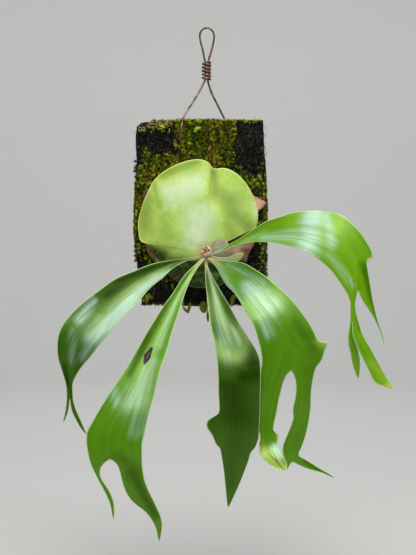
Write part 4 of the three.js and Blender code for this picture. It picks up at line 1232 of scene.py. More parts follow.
# ---------------------------------------------------------------- fronds
@dataclass
class Frond:
    """One blade of the fern with its stalk and lobes, grown row by row from the crown."""

    name: str
    node: str
    blade: Blade
    finish: Material
    slot: Slot = Slot.FROND
    # the tone strokes: painted highlight above 0, painted shade below 0
    strokes: tuple[Stroke, ...] = ()
    marks: dict[str, tuple[Stroke, ...]] = field(default_factory=dict)
    thickness: float = 0.95
    stalk_thickness: float = 2.1
    stalk_length: float = 60.0
    stalk_bare: float = 6.0
    stalk_fade: float = 0.4
    stalk_tan: float = 0.9
    rib: float = 0.5
    rib_width: float = 0.12
    rib_length: float = 1.1
    rib_tan: float = 0.55
    rim_share: float = 0.5
    rim_reach: float = 2.5
    pitch: float = 4.0
    fineness: int = 3
    fade: float = 24.0
    wave: float = 0.5
    wave_length: float = 46.0
    wave_across: float = 2.2
    calm_width: float = 26.0
    steady: float = 12.0
    slimming: float = 0.28
    slim_length: float = 42.0
    relaxing: int = 4
    settling: int = 6
    seed: int = 1
    bm: Net = field(default_factory=bmesh.new)
    across: dict[Vert, Spot] = field(default_factory=dict)

    def places(self, blade: Blade) -> list[float]:
        """Spreads a blade's columns over its width, with one of them at the fork.

        Args:
            blade: The blade or lobe.

        Returns:
            The place of each column, 0 at the left margin and 1 at the right one.
        """
        columns = blade.columns * self.fineness
        split = blade.fork.left.columns * self.fineness if blade.fork else columns
        share = blade.fork.share if blade.fork else 1.0
        return [share * c / split if c <= split else
                share + (1 - share) * (c - split) / (columns - split) for c in range(columns + 1)]

    @staticmethod
    def margins(row: Sequence[float]) -> tuple[Vector, Vector]:
        """Returns the two margins of a row in millimetres."""
        left_x, left_z, right_x, right_z, depth, lean, _ = row
        return Vector((left_x, depth - lean / 2, left_z)), Vector((right_x, depth + lean / 2, right_z))

    def front(self, row: Sequence[float], along: Vector) -> Vector:
        """Returns the way that a row's upper side faces."""
        left, right = self.margins(row)
        return along.cross(right - left).normalized()

    def points(self, row: Sequence[float], along: Vector, places: Sequence[float]) -> list[Vector]:
        """Lays a row's points, arched to the front by the row's last value.

        Args:
            row: The row.
            along: The blade's direction there.
            places: The places of the columns.

        Returns:
            The points in millimetres.
        """
        left, right = self.margins(row)
        front = self.front(row, along)
        return [left.lerp(right, t) + front * (row[6] * 4 * t * (1 - t)) for t in places]

    def dense(self, rows: Sequence[Sequence[float]]) -> list[tuple[list[float], Vector, float]]:
        """Fills in the rows between a blade's own rows.

        Args:
            rows: The blade's rows.

        Returns:
            Closely set rows, each with the blade's direction and the length so far.
        """
        middles = [(left + right) / 2 for left, right in map(self.margins, rows)]
        lengths = [0.0]
        for a, b in zip(middles, middles[1:]):
            lengths.append(lengths[-1] + max(SHORTEST_STEP, (b - a).length))
        curve = RowCurve(rows, lengths)
        made = [(list(map(float, rows[0])), 0.0)]
        for i in range(len(rows) - 1):
            steps = max(1, round((lengths[i + 1] - lengths[i]) / self.pitch))
            for s in range(1, steps + 1):
                made.append((curve.between(i, s / steps), mix(lengths[i], lengths[i + 1], s / steps)))
        centres = [(left + right) / 2 for left, right in (self.margins(row) for row, _ in made)]
        dense = []
        for i, (row, length) in enumerate(made):
            near = [k for k, (_, other) in enumerate(made) if abs(other - length) <= self.steady]
            first, last = max(0, min(near[0], i - 1)), min(len(made) - 1, max(near[-1], i + 1))
            dense.append((row, centres[last] - centres[first], length))
        return dense

    def ripple(self, along: Vector, row: Sequence[float], t: float, length: float) -> Vector:
        """Finds how far a point moves in the blade's slow waves, most at its margins.

        Args:
            along: The blade's direction.
            row: The point's row.
            t: The point's place across the row.
            length: Length from the crown, in millimetres.

        Returns:
            The move in millimetres.
        """
        left, right = self.margins(row)
        calm = smooth(length / self.stalk_length) * smooth((right - left).length / self.calm_width)
        swell = noise.noise(Vector((t * self.wave_across + self.seed * SEED_STEP,
                                    length / self.wave_length, 0.0)))
        return self.front(row, along) * (self.wave * calm * swell * (0.8 + 1.6 * (2 * t - 1) ** 2))

    def grow(self, blade: Blade, seam: Sequence[Vert], run: float) -> None:
        """Grows a blade or lobe, then the lobes of its fork.

        Args:
            blade: The blade or lobe.
            seam: The vertices that it grows on from, none for the stalk.
            run: Length from the crown to the seam, in millimetres.
        """
        rows = blade.rows
        if seam:
            first, last = (seam[i].co / MM for i in (0, -1))
            rows = [[first.x, first.z, last.x, last.z, (first.y + last.y) / 2,
                     last.y - first.y, rows[0][6]], *rows]
        places = self.places(blade)
        u_from, u_to = (self.across[seam[0]][0], self.across[seam[-1]][0]) if seam else (0.0, 1.0)
        upper = seam
        shifts: list[Vector] = []
        for index, (row, along, length) in enumerate(self.dense(rows)):
            points = self.points(row, along, places)
            middle = (points[0] + points[-1]) / 2
            slim = 1 - self.slimming * (1 - smooth((run + length) / self.slim_length))
            points = [middle + (point - middle) * slim for point in points]
            if index == 0 and seam:
                shifts = [vertex.co / MM - point for vertex, point in zip(seam, points)]
                continue
            for c, point in enumerate(points):
                if shifts:
                    point += shifts[c] * (1 - smooth(length / self.fade))
                point += self.ripple(along, row, places[c], run + length)
            upper = add_row(self.bm, upper, [point * MM for point in points])
            for vertex, t in zip(upper, places):
                self.across[vertex] = (mix(u_from, u_to, t), run + length)
        if blade.fork:
            split = blade.fork.left.columns * self.fineness
            reach = self.across[upper[0]][1]
            self.grow(blade.fork.left, upper[:split + 1], reach)
            self.grow(blade.fork.right, upper[split:], reach)

    def stalk_tone(self, u: float, run: float) -> float:
        """Finds how tan the blade is: all of the stalk, then a rib that fades out.

        Args:
            u: Share of the way across the blade.
            run: Length from the crown, in millimetres.

        Returns:
            The share of the stalk's colour.
        """
        whole = 1 - smooth((run - self.stalk_bare) / (self.stalk_fade * self.stalk_length))
        rib = 1 - smooth(run / (self.rib_length * self.stalk_length))
        rib *= math.exp(-((u - self.rib) / self.rib_width) ** 2)
        return min(1.0, self.stalk_tan * whole + self.rib_tan * rib)

    def build(self) -> None:
        """Builds and dresses the frond."""
        self.grow(self.blade, (), 0.0)
        bm = self.bm
        relax(bm, bm.verts[:], self.relaxing, whole=False)
        relax(bm, [v for v in bm.verts if not v.is_boundary], self.settling, whole=True)
        turn_faces(bm, FRONT)
        lay_uv(bm, "blade", lambda v: (self.across[v][0], self.across[v][1] / UV_LENGTH))
        margin = rim_distances(bm)
        runs = [self.across[v][1] for v in bm.verts]
        values = {"margin": margin, "stalk": [self.stalk_tone(*self.across[v]) for v in bm.verts]}
        # the tone holds painted highlight above 0 and painted shade below 0
        for mark, strokes in ({"tone": self.strokes} | self.marks).items():
            values[mark] = stroked([v.co for v in bm.verts], strokes)
        piece = new_piece(self.name, bm)
        keep_values(piece, **values)
        self.taper(piece, margin, runs)
        soften(piece)
        dress(piece, self.slot, self.finish, self.node)

    def taper(self, piece: Piece, margin: Sequence[float], runs: Sequence[float]) -> None:
        """Gives the sheet its thickness, more at the stalk and less along the rim.

        Args:
            piece: The sheet.
            margin: Distance of each vertex from the rim, in metres.
            runs: Length of each vertex from the crown, in millimetres.
        """
        group = piece.vertex_groups.new(name="thickness")
        for i, (gap, run) in enumerate(zip(margin, runs)):
            body = mix(self.stalk_thickness, self.thickness, smooth(run / self.stalk_length))
            edge = mix(self.rim_share, 1.0, smooth(gap / (self.rim_reach * MM)))
            group.add([i], min(1.0, body * edge / self.stalk_thickness), "REPLACE")
        thicken(piece, self.stalk_thickness).vertex_group = group.name


# ---------------------------------------------------------------- shields
@dataclass
class Shield:
    """A dished shield frond that spreads from the crown to its rim, open at its cleft."""

    name: str
    node: str
    rim: Sequence[Sequence[float]]
    centre_depth: float
    finish: Material
    slot: Slot
    relief: Callable[[float, float, float], float]
    strokes: tuple[Stroke, ...]
    thickness: float = 0.9
    rings: int = 26
    spokes_per_point: int = 3
    opening: float = 6.0
    power: float = 2.2
    lip: float = 0.7
    overshoot: float = 1.12
    calm_reach: int = 15
    settling: int = 14
    root_reach: float = 9.0
    root_tan: float = 0.7

    def calmed(self, values: Sequence[float]) -> list[float]:
        """Evens out one value for each spoke.

        Args:
            values: The values in the spokes' order.

        Returns:
            For each spoke, the mean of it and its neighbours.
        """
        near = [values[max(0, i - self.calm_reach):i + self.calm_reach + 1] for i in range(len(values))]
        return [sum(some) / len(some) for some in near]

    def build(self) -> None:
        """Builds and dresses the shield."""
        bm = bmesh.new()
        middle_x, middle_z = CROWN
        rim = through(self.rim, self.spokes_per_point)
        reaches = [math.hypot(point.x - middle_x, point.z - middle_z) for point in rim]
        depths, even = self.calmed([point.y for point in rim]), self.calmed(reaches)
        known: dict[Vert, Spot] = {}
        row: list[Vert] = []
        for i, (x, y, z) in enumerate(rim):
            spoke = []
            for ring in range(self.rings + 1):
                s = mix(self.opening / reaches[i], 1.0, ring / self.rings)
                px, pz = mix(middle_x, x, s), mix(middle_z, z, s)
                dish = min(self.overshoot, s * reaches[i] / even[i]) ** self.power
                depth = mix(mix(self.centre_depth, depths[i], dish), y,
                            smooth((s - self.lip) / (1 - self.lip))) - self.relief(px, pz, s)
                spoke.append(Vector((px, depth, pz)) * MM)
            row = add_row(bm, row, spoke)
            for ring, vertex in enumerate(row):
                known[vertex] = (i / len(rim), ring / self.rings)
        relax(bm, [v for v in bm.verts if not v.is_boundary], self.settling, whole=False)
        turn_faces(bm, FRONT)
        lay_uv(bm, "spokes", known.get)
        gaps = [math.hypot(v.co.x / MM - middle_x, v.co.z / MM - middle_z) for v in bm.verts]
        # tone: painted highlight above 0 and painted shade below 0
        values = {"margin": rim_distances(bm),
                  "tone": stroked([v.co for v in bm.verts], self.strokes),
                  "root": [self.root_tan * (1 - smooth((gap - self.opening) / self.root_reach))
                           for gap in gaps]}
        piece = new_piece(self.name, bm)
        keep_values(piece, **values)
        thicken(piece, self.thickness)
        soften(piece)
        dress(piece, self.slot, self.finish, self.node)


def main_relief(x: float, z: float, s: float) -> float:
    """Finds how far the green shield stands out beyond its dish.

    A shallow valley runs down from the notch in its rim, a dent lies at the upper left, and
    fine waves run round its edge.

    Args:
        x, z: The point.
        s: Share of the way from the crown to the rim.

    Returns:
        The height in millimetres.
    """
    beyond = x - mix(8.2, -4.0, min(1.2, max(0.0, (-160 - z) / 35)))
    valley = smooth((beyond + 3) / 11) * (1 - smooth((beyond - 12) / 24)) * smooth((z + 222) / 46)
    dent = math.exp(-((x + 56) / 5) ** 2 - ((z + 180) / 9) ** 2)
    swell = noise.noise(Vector((x / 30, z / 38, 4.0))) * smooth(s * 1.6)
    waves = math.sin(math.atan2(z - CROWN[1], x) * 23) * smooth((s - 0.55) * 2.2)
    return -3.2 * valley - 1.5 * dent + 1.6 * swell + 0.5 * waves


def old_relief(x: float, z: float, s: float) -> float:
    """Finds how far the dry shield's crumples stand out beyond its dish.

    Args:
        x, z: The point.
        s: Share of the way from the crown to the rim.

    Returns:
        The height in millimetres.
    """
    coarse, fine = noise.noise(Vector((x / 11, z / 11, 9.0))), noise.noise(Vector((x / 4, z / 4, 2.0)))
    return (1.5 * coarse + 0.7 * fine) * smooth((s - 0.5) * 2)


@dataclass
class YoungShield:
    """The small felted shield that unfolds beside the crown."""

    finish: Material
    centre: Spot = (14.5, -247.5)
    radius: float = 10.7
    front: float = -53.4
    rim: float = -51.0
    thickness: float = 1.0
    bumps: float = 0.35
    bump_size: float = 3.0
    rings: int = 9
    steps: int = 48

    def build(self) -> None:
        """Builds and dresses the disc by spinning its section."""
        shares = (k / self.rings for k in range(self.rings + 1))
        bm = lathe([(self.radius * s, mix(self.front, self.rim, s * s)) for s in shares],
                   self.centre, self.steps)
        margin = []
        for v in bm.verts:
            x, z = v.co.x / MM - self.centre[0], v.co.z / MM - self.centre[1]
            v.co.y -= self.bumps * MM * noise.noise(Vector((x / self.bump_size, z / self.bump_size, 2.0)))
            margin.append((self.radius - math.hypot(x, z)) * MM)
        turn_faces(bm, FRONT)
        piece = new_piece("felt_shield", bm)
        keep_values(piece, margin=margin)
        thicken(piece, self.thickness, -1.0)
        soften(piece)
        dress(piece, Slot.FELT, self.finish, "young_shield_frond")


# ---------------------------------------------------------------- crown
@dataclass
class Crown:
    """The short stem and its bud of overlapping scales, with a woolly growing tip.

    The profile gives the stem's radius and depth. Each ring of scales has its count, radius,
    depth and tilt.
    """

    scales: Material
    wool: Material
    profile: tuple[Spot, ...] = ((6.0, -38.8), (5.6, -44), (5.0, -50), (5.3, -54), (5.6, -57),
                                 (4.8, -60), (2.6, -62.5), (0.0, -63.5))
    steps: int = 40
    core_tone: float = 0.1
    rings: tuple[tuple[int, float, float, float], ...] = (
        (13, 5.6, -53.5, 0.4), (12, 5.2, -56, 0.34), (11, 4.3, -58.3, 0.2), (9, 3.1, -60, 0.02),
        (6, 1.9, -61, -0.22), (3, 0.7, -61.6, -0.2))
    scale_length: float = 6.4
    scale_width: float = 3.2
    scale_thickness: float = 0.3
    scale_lift: float = 0.7
    hairs: int = 300
    hair_root: Point = (2.0, -65.9, -253.4)
    hair_radii: Spot = (0.16, 0.06)
    seed: int = 5

    def scale_mesh(self) -> bpy.types.Mesh:
        """Makes one cupped pointed scale.

        Returns:
            The scale, which points along -Y from the origin.
        """
        bm = bmesh.new()
        bmesh.ops.create_grid(bm, x_segments=4, y_segments=6, size=0.5)
        lay_uv(bm, "blade", lambda v: (v.co.x + 0.5, v.co.y + 0.5))
        for v in bm.verts:
            u, t = v.co.x * 2, v.co.y + 0.5
            half = self.scale_width / 2 * (1 - t ** 2.4) * (0.75 + 0.6 * t)
            v.co = Vector((u * max(half, 0.06), -t * self.scale_length,
                           0.9 * (1 - u * u) * (1 - t * 0.5) + 1.1 * t * t)) * MM
        mesh = bpy.data.meshes.new("scale_pattern")
        bm.to_mesh(mesh)
        bm.free()
        return mesh

    def core(self) -> None:
        """Builds and dresses the stem inside the bud."""
        bm = lathe(self.profile, CROWN, self.steps)
        bmesh.ops.holes_fill(bm, edges=[e for e in bm.edges if e.is_boundary], sides=0)
        core = new_piece("crown_core", bm, outward=True)
        keep_values(core, tone=[self.core_tone] * len(core.data.vertices))
        soften(core)
        dress(core, Slot.BUD, self.scales, "crown_bud")

    def bud(self, rng: random.Random) -> None:
        """Builds and dresses the rings of scales.

        Args:
            rng: Draws each scale's turn, size, tilt and tone.
        """
        x0, z0 = CROWN
        bm = bmesh.new()
        pattern = self.scale_mesh()
        for ring, (count, radius, y, tilt) in enumerate(self.rings):
            for i in range(count):
                angle = (i + ring / 2) / count * FULL_TURN + rng.uniform(-0.22, 0.22)
                size = rng.uniform(0.7, 1.25)
                out = Matrix.Rotation(math.pi / 2 - angle, 4, "Y")
                lean = Matrix.Rotation(tilt + rng.uniform(-0.2, 0.2), 4, "X")
                spot = Vector((x0 + radius * math.cos(angle), y + rng.uniform(-0.9, 0.9),
                               z0 + self.scale_lift + radius * math.sin(angle)))
                stamp(bm, pattern, Matrix.Translation(spot * MM) @ out @ lean @ Matrix.Scale(size, 4))
        tones = [rng.uniform(0.5, 0.8) + 0.6 * smooth((-v.co.y / MM - 57) / 7)
                 - 0.4 * smooth((v.co.z / MM - v.co.x / MM - z0 - 1) / 6) for v in bm.verts]
        bud = new_piece("crown_scales", bm)
        keep_values(bud, tone=tones)
        thicken(bud, self.scale_thickness)
        soften(bud)
        dress(bud, Slot.BUD, self.scales, "crown_bud")

    def woolly_tip(self, rng: random.Random) -> None:
        """Builds and dresses the white hairs of the growing tip.

        Args:
            rng: Draws each hair's way, length and bend.
        """
        bm = bmesh.new()
        root = Vector(self.hair_root)
        for _ in range(self.hairs):
            aim = Vector((rng.gauss(0, 0.9), -abs(rng.gauss(0.8, 0.5)), rng.gauss(0, 0.9))).normalized()
            reach = rng.uniform(1.1, 1.9)
            side = Vector((rng.gauss(0, 1), rng.gauss(0, 1), rng.gauss(0, 1))) * 0.35
            path = [(root + aim * reach * t + side * t * t) * MM for t in (0, 0.4, 0.75, 1.0)]
            sweep(bm, path, lambda t: mix(*self.hair_radii, t) * MM, HAIR_SIDES)
        dress(new_piece("crown_wool", bm, outward=True), Slot.BUD, self.wool)

    def build(self) -> None:
        """Builds and dresses the stem, the bud and its wool."""
        rng = random.Random(self.seed)
        self.core()
        self.bud(rng)
        self.woolly_tip(rng)


# ---------------------------------------------------------------- slab
@dataclass
class Slab:
    """The slab of dark matted fibre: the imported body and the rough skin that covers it."""

    finish: Material
    columns: int = 104
    rows: int = 150
    depth: float = 26.0
    lift: float = 0.7
    skin: float = 0.5
    side_steps: int = 9
    back: float = -1.2
    side_lift: float = 1.9
    side_taper: float = 0.8
    centre: Spot = (-6.0, -207.0)
    clear: float = 46.0

    def bark(self, x: float, z: float) -> float:
        """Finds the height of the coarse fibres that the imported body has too.

        Args:
            x, z: The point.

        Returns:
            The height in millimetres, 0 under the cushion.
        """
        fibres = 0.5 * math.sin(x * 0.55 + math.sin(z * 0.06) * 2) + 0.5 * math.sin(x * 0.23 + z * 0.05)
        lumps = 0.5 * math.sin(z * 0.11 + x * 0.07)
        away = smooth((math.hypot(x - CUSHION[0], z - CUSHION[1]) - self.clear) / 9)
        return 1.4 * away * (fibres + lumps)

    @staticmethod
    def rough(x: float, y: float, z: float) -> float:
        """Finds the height of lumps and fibre ends at a point.

        Args:
            x, y, z: The point.

        Returns:
            The height in millimetres, 0 to about 3.
        """
        lumps = noise.fractal(Vector((x / 13, y / 9, z / 13)), 0.8, 2.1, 4)
        fibre = noise.fractal(Vector((x / 1.9, y / 2.4, z / 9)), 0.9, 2.0, 3)
        return max(0.0, 1.3 + 1.3 * lumps + 0.75 * fibre)

    def build(self) -> None:
        """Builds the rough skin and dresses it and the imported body."""
        left, right = edge_curve(SLAB_LEFT, 1), edge_curve(SLAB_RIGHT, 1)
        top, bottom = edge_curve(SLAB_TOP, 0), edge_curve(SLAB_BOTTOM, 0)
        bm = bmesh.new()
        row: list[Vert] = []
        for v in (r / self.rows for r in range(self.rows + 1)):
            ends = left(v)[0], right(v)[0]
            points = []
            for u in (c / self.columns for c in range(self.columns + 1)):
                x, z = mix(*ends, u), mix(top(u)[1], bottom(u)[1], v)
                high = self.bark(x, z) + self.lift + self.rough(x, 0, z)
                points.append(Vector((x, -self.depth - high, z)) * MM)
            row = add_row(bm, row, points)
        self.wrap_sides(bm)
        turn_faces(bm, FRONT)
        tone = stroked([v.co for v in bm.verts], SLAB_TONES)
        piece = new_piece("slab_skin", bm)
        keep_values(piece, tone=tone)
        thicken(piece, self.skin, -1.0)
        for slot in bpy.data.objects["mount_board"].material_slots:
            slot.material = self.finish
        dress(piece, Slot.SLAB, self.finish)

    def wrap_sides(self, bm: Net) -> None:
        """Extrudes the skin's rim back along the slab's sides.

        Args:
            bm: The skin.
        """
        rim = [e for e in bm.edges if e.is_boundary]
        outline = {v: v.co / MM for e in rim for v in e.verts}
        front = {v: place.y for v, place in outline.items()}
        for share in (step / self.side_steps for step in range(1, self.side_steps + 1)):
            made = bmesh.ops.extrude_edge_only(bm, edges=rim)["geom"]
            carried, depths = {}, {}
            for (old, place), new in zip(outline.items(), new_neighbours(outline, made)):
                out = Vector((place.x - self.centre[0], 0, place.z - self.centre[1])).normalized()
                y = mix(front[old], self.back, share)
                rough = self.rough(place.x, y, place.z) * math.sin(math.pi * share) ** 0.6
                swell = self.side_lift * min(1.0, share * 3) + rough - self.side_taper * share ** 3
                new.co = (Vector((place.x, y, place.z)) + out * swell) * MM
                carried[new], depths[new] = place, front[old]
            rim = [e for e in made if isinstance(e, bmesh.types.BMEdge)
                   and e.verts[0] in carried and e.verts[1] in carried]
            outline, front = carried, depths


# ---------------------------------------------------------------- moss
@dataclass
class Moss:
    """Cushions of moss, root hairs and small creeping leaves on the slab."""

    bright: Material
    dark: Material
    hair: Material
    leaf: Material
    fresh: Material
    chip: Material
    seed: int = 11
    tuft_leaves: int = 7
    tuft_turn: float = 2.4
    tuft_radii: Spot = (0.62, 0.05)
    patchiness: float = 0.42
    hair_count: int = 420
    chip_count: int = 120
    chip_thickness: float = 0.6
    leaf_thickness: float = 0.35
    cushion_radius: float = 44.0
    cushion_base: float = -26.3
    cushion_height: float = 12.0
    cushion_foot: float = 0.3
    cushion_rings: int = 14
    cushion_steps: int = 72

    def tuft(self) -> bpy.types.Mesh:
        """Makes one small star of pointed moss leaves.

        Returns:
            The star, which grows along +Z.
        """
        rng = random.Random(self.seed)
        bm = bmesh.new()
        root, tip = self.tuft_radii
        for i in range(self.tuft_leaves):
            tilt = 0.25 + 0.75 * i / self.tuft_leaves
            length = rng.uniform(2.0, 3.2) * MM
            turn = Matrix.Rotation(i * self.tuft_turn, 4, "Z") @ Matrix.Rotation(tilt, 4, "X")
            bmesh.ops.create_cone(bm, segments=4, radius1=root * MM, radius2=tip * MM, cap_ends=True,
                                  depth=length, matrix=turn @ Matrix.Translation((0, 0, length / 2)))
        mesh = bpy.data.meshes.new("tuft_pattern")
        bm.to_mesh(mesh)
        bm.free()
        return mesh

    def carpet(self, name: str, count: int, spots: Callable[[random.Random], tuple[Vector, Vector]],
               sizes: Spot, material: Material, seed: int) -> None:
        """Builds and dresses one piece with many tufts.

        Args:
            name: The piece's name.
            count: Number of tufts.
            spots: Draws the place and the direction of a tuft.
            sizes: Smallest and largest scale.
            material: The finish.
            seed: Seed of the draws.
        """
        rng = random.Random(seed)
        pattern = self.tuft()
        bm = bmesh.new()
        for _ in range(count):
            place, aim = spots(rng)
            aim += Vector((rng.gauss(0, 0.3), rng.gauss(0, 0.3), rng.gauss(0, 0.3)))
            size, spin = rng.uniform(*sizes), rng.uniform(0, 6.28)
            turn = aim.normalized().to_track_quat("Z", "Y").to_matrix().to_4x4()
            stamp(bm, pattern, Matrix.Translation(place * MM) @ turn @ Matrix.Rotation(spin, 4, "Z")
                  @ Matrix.Scale(size, 4))
        dress(new_piece(name, bm), Slot.MOSS, material)

    @staticmethod
    def top_edge(rng: random.Random) -> tuple[Vector, Vector]:
        """Draws a place along the slab's top edge, where moss is thicker on the right.

        Args:
            rng: The draws.

        Returns:
            The place in millimetres and the way that a tuft grows.
        """
        x = rng.uniform(-60, 60)
        while noise.noise(Vector((x / 4, 0.0, 5.0))) + (0.35 if x > -12 else 0.0) < -0.12:
            x = rng.uniform(-60, 60)
        y = -27.5 + abs(rng.gauss(0, 1)) * 7 if rng.random() < 0.6 else rng.uniform(-28, -2)
        drop = abs(rng.gauss(0, 2.0 if x > -12 else 1.1))
        return Vector((x, min(y, -2), -106.4 - drop)), Vector((0, -0.35, 0.9))

    @staticmethod
    def corner(rng: random.Random) -> tuple[Vector, Vector]:
        """Draws a place among the chips of the slab's broken corner, and the way up from it."""
        return Vector((rng.gauss(-50, 7), -29.5, rng.gauss(-114.0, 3.0))), Vector((0, -0.8, 0.5))

    def face(self, rng: random.Random) -> tuple[Vector, Vector]:
        """Draws a place on the slab's front, in patches.

        Args:
            rng: The draws.

        Returns:
            The place in millimetres and the way that a tuft grows.
        """
        while True:
            x, z = rng.uniform(-73, 63), rng.uniform(-304, -108)
            tone = stroked([Vector((x, 0, z)) * MM], SLAB_TONES)[0]
            patch = noise.noise(Vector((x / 15, z / 15, 3.0))) + 0.3 * rng.random()
            if patch + tone > self.patchiness:
                return Vector((x, SLAB_FACE, z)), Vector((0, -1, 0.25))

    @staticmethod
    def sides(rng: random.Random) -> tuple[Vector, Vector]:
        """Draws a place along the slab's left, right and bottom sides.

        Args:
            rng: The draws.

        Returns:
            The place in millimetres and the way that a tuft grows.
        """
        pick = rng.random()
        if pick < 0.4:
            z = rng.uniform(-262, -150)
            return Vector((-78 + rng.uniform(-0.5, 1.5), rng.uniform(-26, -4), z)), Vector((-1, -0.2, 0.3))
        if pick < 0.75:
            z = rng.uniform(-304, -200)
            return Vector((65 + rng.uniform(-1, 1), rng.uniform(-26, -4), z)), Vector((1, -0.2, 0.2))
        return Vector((rng.uniform(-68, 60), rng.uniform(-26, -4), -307.5)), Vector((0, -0.2, -1))

    def cushion(self) -> None:
        """Builds and dresses the low cushion of moss and roots that the shields clasp."""
        dome = [(self.cushion_radius * s, self.cushion_base - self.cushion_height * (1 - s ** 3))
                for s in (k / self.cushion_rings for k in range(self.cushion_rings + 1))]
        foot = self.cushion_base + self.cushion_foot
        bm = lathe([*dome, (self.cushion_radius, foot), (0, foot)], CUSHION, self.cushion_steps)
        for v in bm.verts:
            place = v.co / MM
            lumps = noise.fractal(Vector((place.x / 9, place.y / 9, place.z / 9)), 0.8, 2.1, 3)
            if place.y < self.cushion_base - 0.1:
                v.co.y -= 0.5 * lumps * MM
        piece = new_piece("moss_cushion", bm, outward=True)
        soften(piece)
        dress(piece, Slot.MOSS, self.dark, "root_mound")

    def hairs(self) -> None:
        """Builds and dresses the root hairs that stand off the slab."""
        rng = random.Random(self.seed + 3)
        bm = bmesh.new()
        for _ in range(self.hair_count):
            x, z = rng.uniform(-72, 62), rng.uniform(-304, -108)
            edge = rng.random() * 1.6
            y, aim = SLAB_FACE, Vector((rng.gauss(0, 0.9), -0.3, rng.gauss(0, 0.9)))
            if edge < 0.25:
                x, y, aim = -76.0, rng.uniform(-27, -3), Vector((-0.7, -0.2, -0.5))
            elif edge < 0.5:
                x, y, aim = 64.0, rng.uniform(-27, -3), Vector((0.7, -0.2, -0.5))
            elif edge < 0.72:
                z, y, aim = -306.0, rng.uniform(-27, -3), Vector((rng.gauss(0, 0.4), -0.2, -1))
            elif edge < 1.1:
                x, z = rng.uniform(30, 62), rng.uniform(-152, -112)
            reach = rng.uniform(2, 5) if edge < 0.72 else rng.uniform(3, 9)
            bend = Vector((rng.gauss(0, 1), rng.gauss(0, 0.6), rng.gauss(0, 1) - 0.5)) * reach * 0.4
            path = [(Vector((x, y, z)) + aim * reach * t + bend * t * t) * MM
                    for t in (0, 0.25, 0.5, 0.75, 1.0)]
            thick = rng.uniform(0.12, 0.26)
            sweep(bm, path, lambda t, r=thick: r * (1 - 0.6 * t) * MM, HAIR_SIDES)
        dress(new_piece("root_hairs", bm, outward=True), Slot.SLAB, self.hair)

    def firm(self, name: str, bm: Net, material: Material) -> None:
        """Gives leaves their thickness and dresses them.

        Args:
            name: The piece's name.
            bm: The leaves as sheets.
            material: The finish.
        """
        piece = new_piece(name, bm)
        thicken(piece, self.leaf_thickness)
        soften(piece)
        dress(piece, Slot.MOSS, material)

    def leaves(self, name: str, table: Sequence[Sequence[float]], material: Material) -> None:
        """Builds and dresses small creeping leaves with their stems.

        Args:
            name: The piece's name.
            table: Root x and z, tip x and z, width and depth of each leaf.
            material: The finish.
        """
        bm = bmesh.new()
        for i, (root_x, root_z, tip_x, tip_z, width, depth) in enumerate(table):
            root, tip = Vector((root_x, depth, root_z)), Vector((tip_x, depth, tip_z))
            along = tip - root
            side = FRONT.cross(along).normalized()
            made = bmesh.ops.create_grid(bm, x_segments=4, y_segments=7, size=0.5)["verts"]
            for v in made:
                u, t = v.co.x * 2, v.co.y + 0.5
                half = width / 2 * max(0.05, math.sin(math.pi * t ** 0.85)) ** 0.48
                bulge = 0.5 + 0.16 * width * (1 - u * u) + 0.9 * math.sin(2.2 * t + i)
                v.co = (root + along * t + side * u * half + FRONT * bulge) * MM
        self.firm(name, bm, material)

    def patch_leaves(self) -> None:
        """Builds and dresses the tiny round leaves that creep over the slab's edges."""
        rng = random.Random(self.seed + 5)
        bm = bmesh.new()
        for x, y, z, size, count in LEAF_CLUSTERS:
            for _ in range(count):
                place = Vector((x + rng.gauss(0, size * 0.55), y + rng.gauss(0, 1.6),
                                z + rng.gauss(0, size * 0.8)))
                self.leaflet(bm, rng, place, rng.uniform(0.6, 1.1) * size)
        self.firm("patch_leaves", bm, self.leaf)

    @staticmethod
    def leaflet(bm: Net, rng: random.Random, place: Vector, size: float) -> None:
        """Adds one rounded, cupped leaf.

        Args:
            bm: The net that takes the leaf.
            rng: Draws its turn.
            place: Its middle, in millimetres.
            size: Its width, in millimetres.
        """
        turn = Matrix.Rotation(rng.uniform(-0.9, 0.9), 4, "X") @ Matrix.Rotation(rng.uniform(-1, 1), 4, "Z")
        matrix = Matrix.Translation(place * MM) @ turn @ Matrix.Rotation(math.pi / 2, 4, "X")
        made = bmesh.ops.create_circle(bm, cap_ends=True, cap_tris=True, segments=9,
                                       radius=size / 2 * MM, matrix=matrix)["verts"]
        centre = sum((v.co for v in made), Vector()) / len(made)
        for v in made:
            away = (v.co - centre).length / (size / 2 * MM)
            v.co.y += 0.16 * size * MM * away * away
            v.co.z += 0.12 * size * MM * away * math.sin(7 * away + place.x)

    def chips(self) -> None:
        """Builds and dresses the dead bark chips that lie in the slab's broken corner."""
        rng = random.Random(self.seed + 9)
        bm = bmesh.new()
        for _ in range(self.chip_count):
            x = rng.uniform(-74, -40)
            z = mix(-116.5, -110.5, smooth((x + 70) / 12)) + rng.gauss(0, 1.5)
            turn = (Matrix.Rotation(rng.gauss(0, 0.35), 4, "Y") @ Matrix.Rotation(rng.gauss(0, 0.6), 4, "X")
                    @ Matrix.Rotation(math.pi / 2, 4, "X"))
            made = bmesh.ops.create_grid(bm, x_segments=5, y_segments=3, size=0.5)["verts"]
            length, width = rng.uniform(1.0, 3.2), rng.uniform(0.5, 1.2)
            matrix = Matrix.Translation(Vector((x, rng.uniform(-31, -27), z)) * MM) @ turn
            for v in made:
                u, t = v.co.x, v.co.y
                ragged = 1 + 0.5 * noise.noise(Vector((u * 3 + x, t * 3, z)))
                v.co = matrix @ (Vector((u * length * ragged, t * width * ragged,
                                         1.2 * u * u * width + 0.5 * rng.random())) * MM)
        piece = new_piece("bark_chips", bm)
        thicken(piece, self.chip_thickness)
        dress(piece, Slot.SLAB, self.chip)

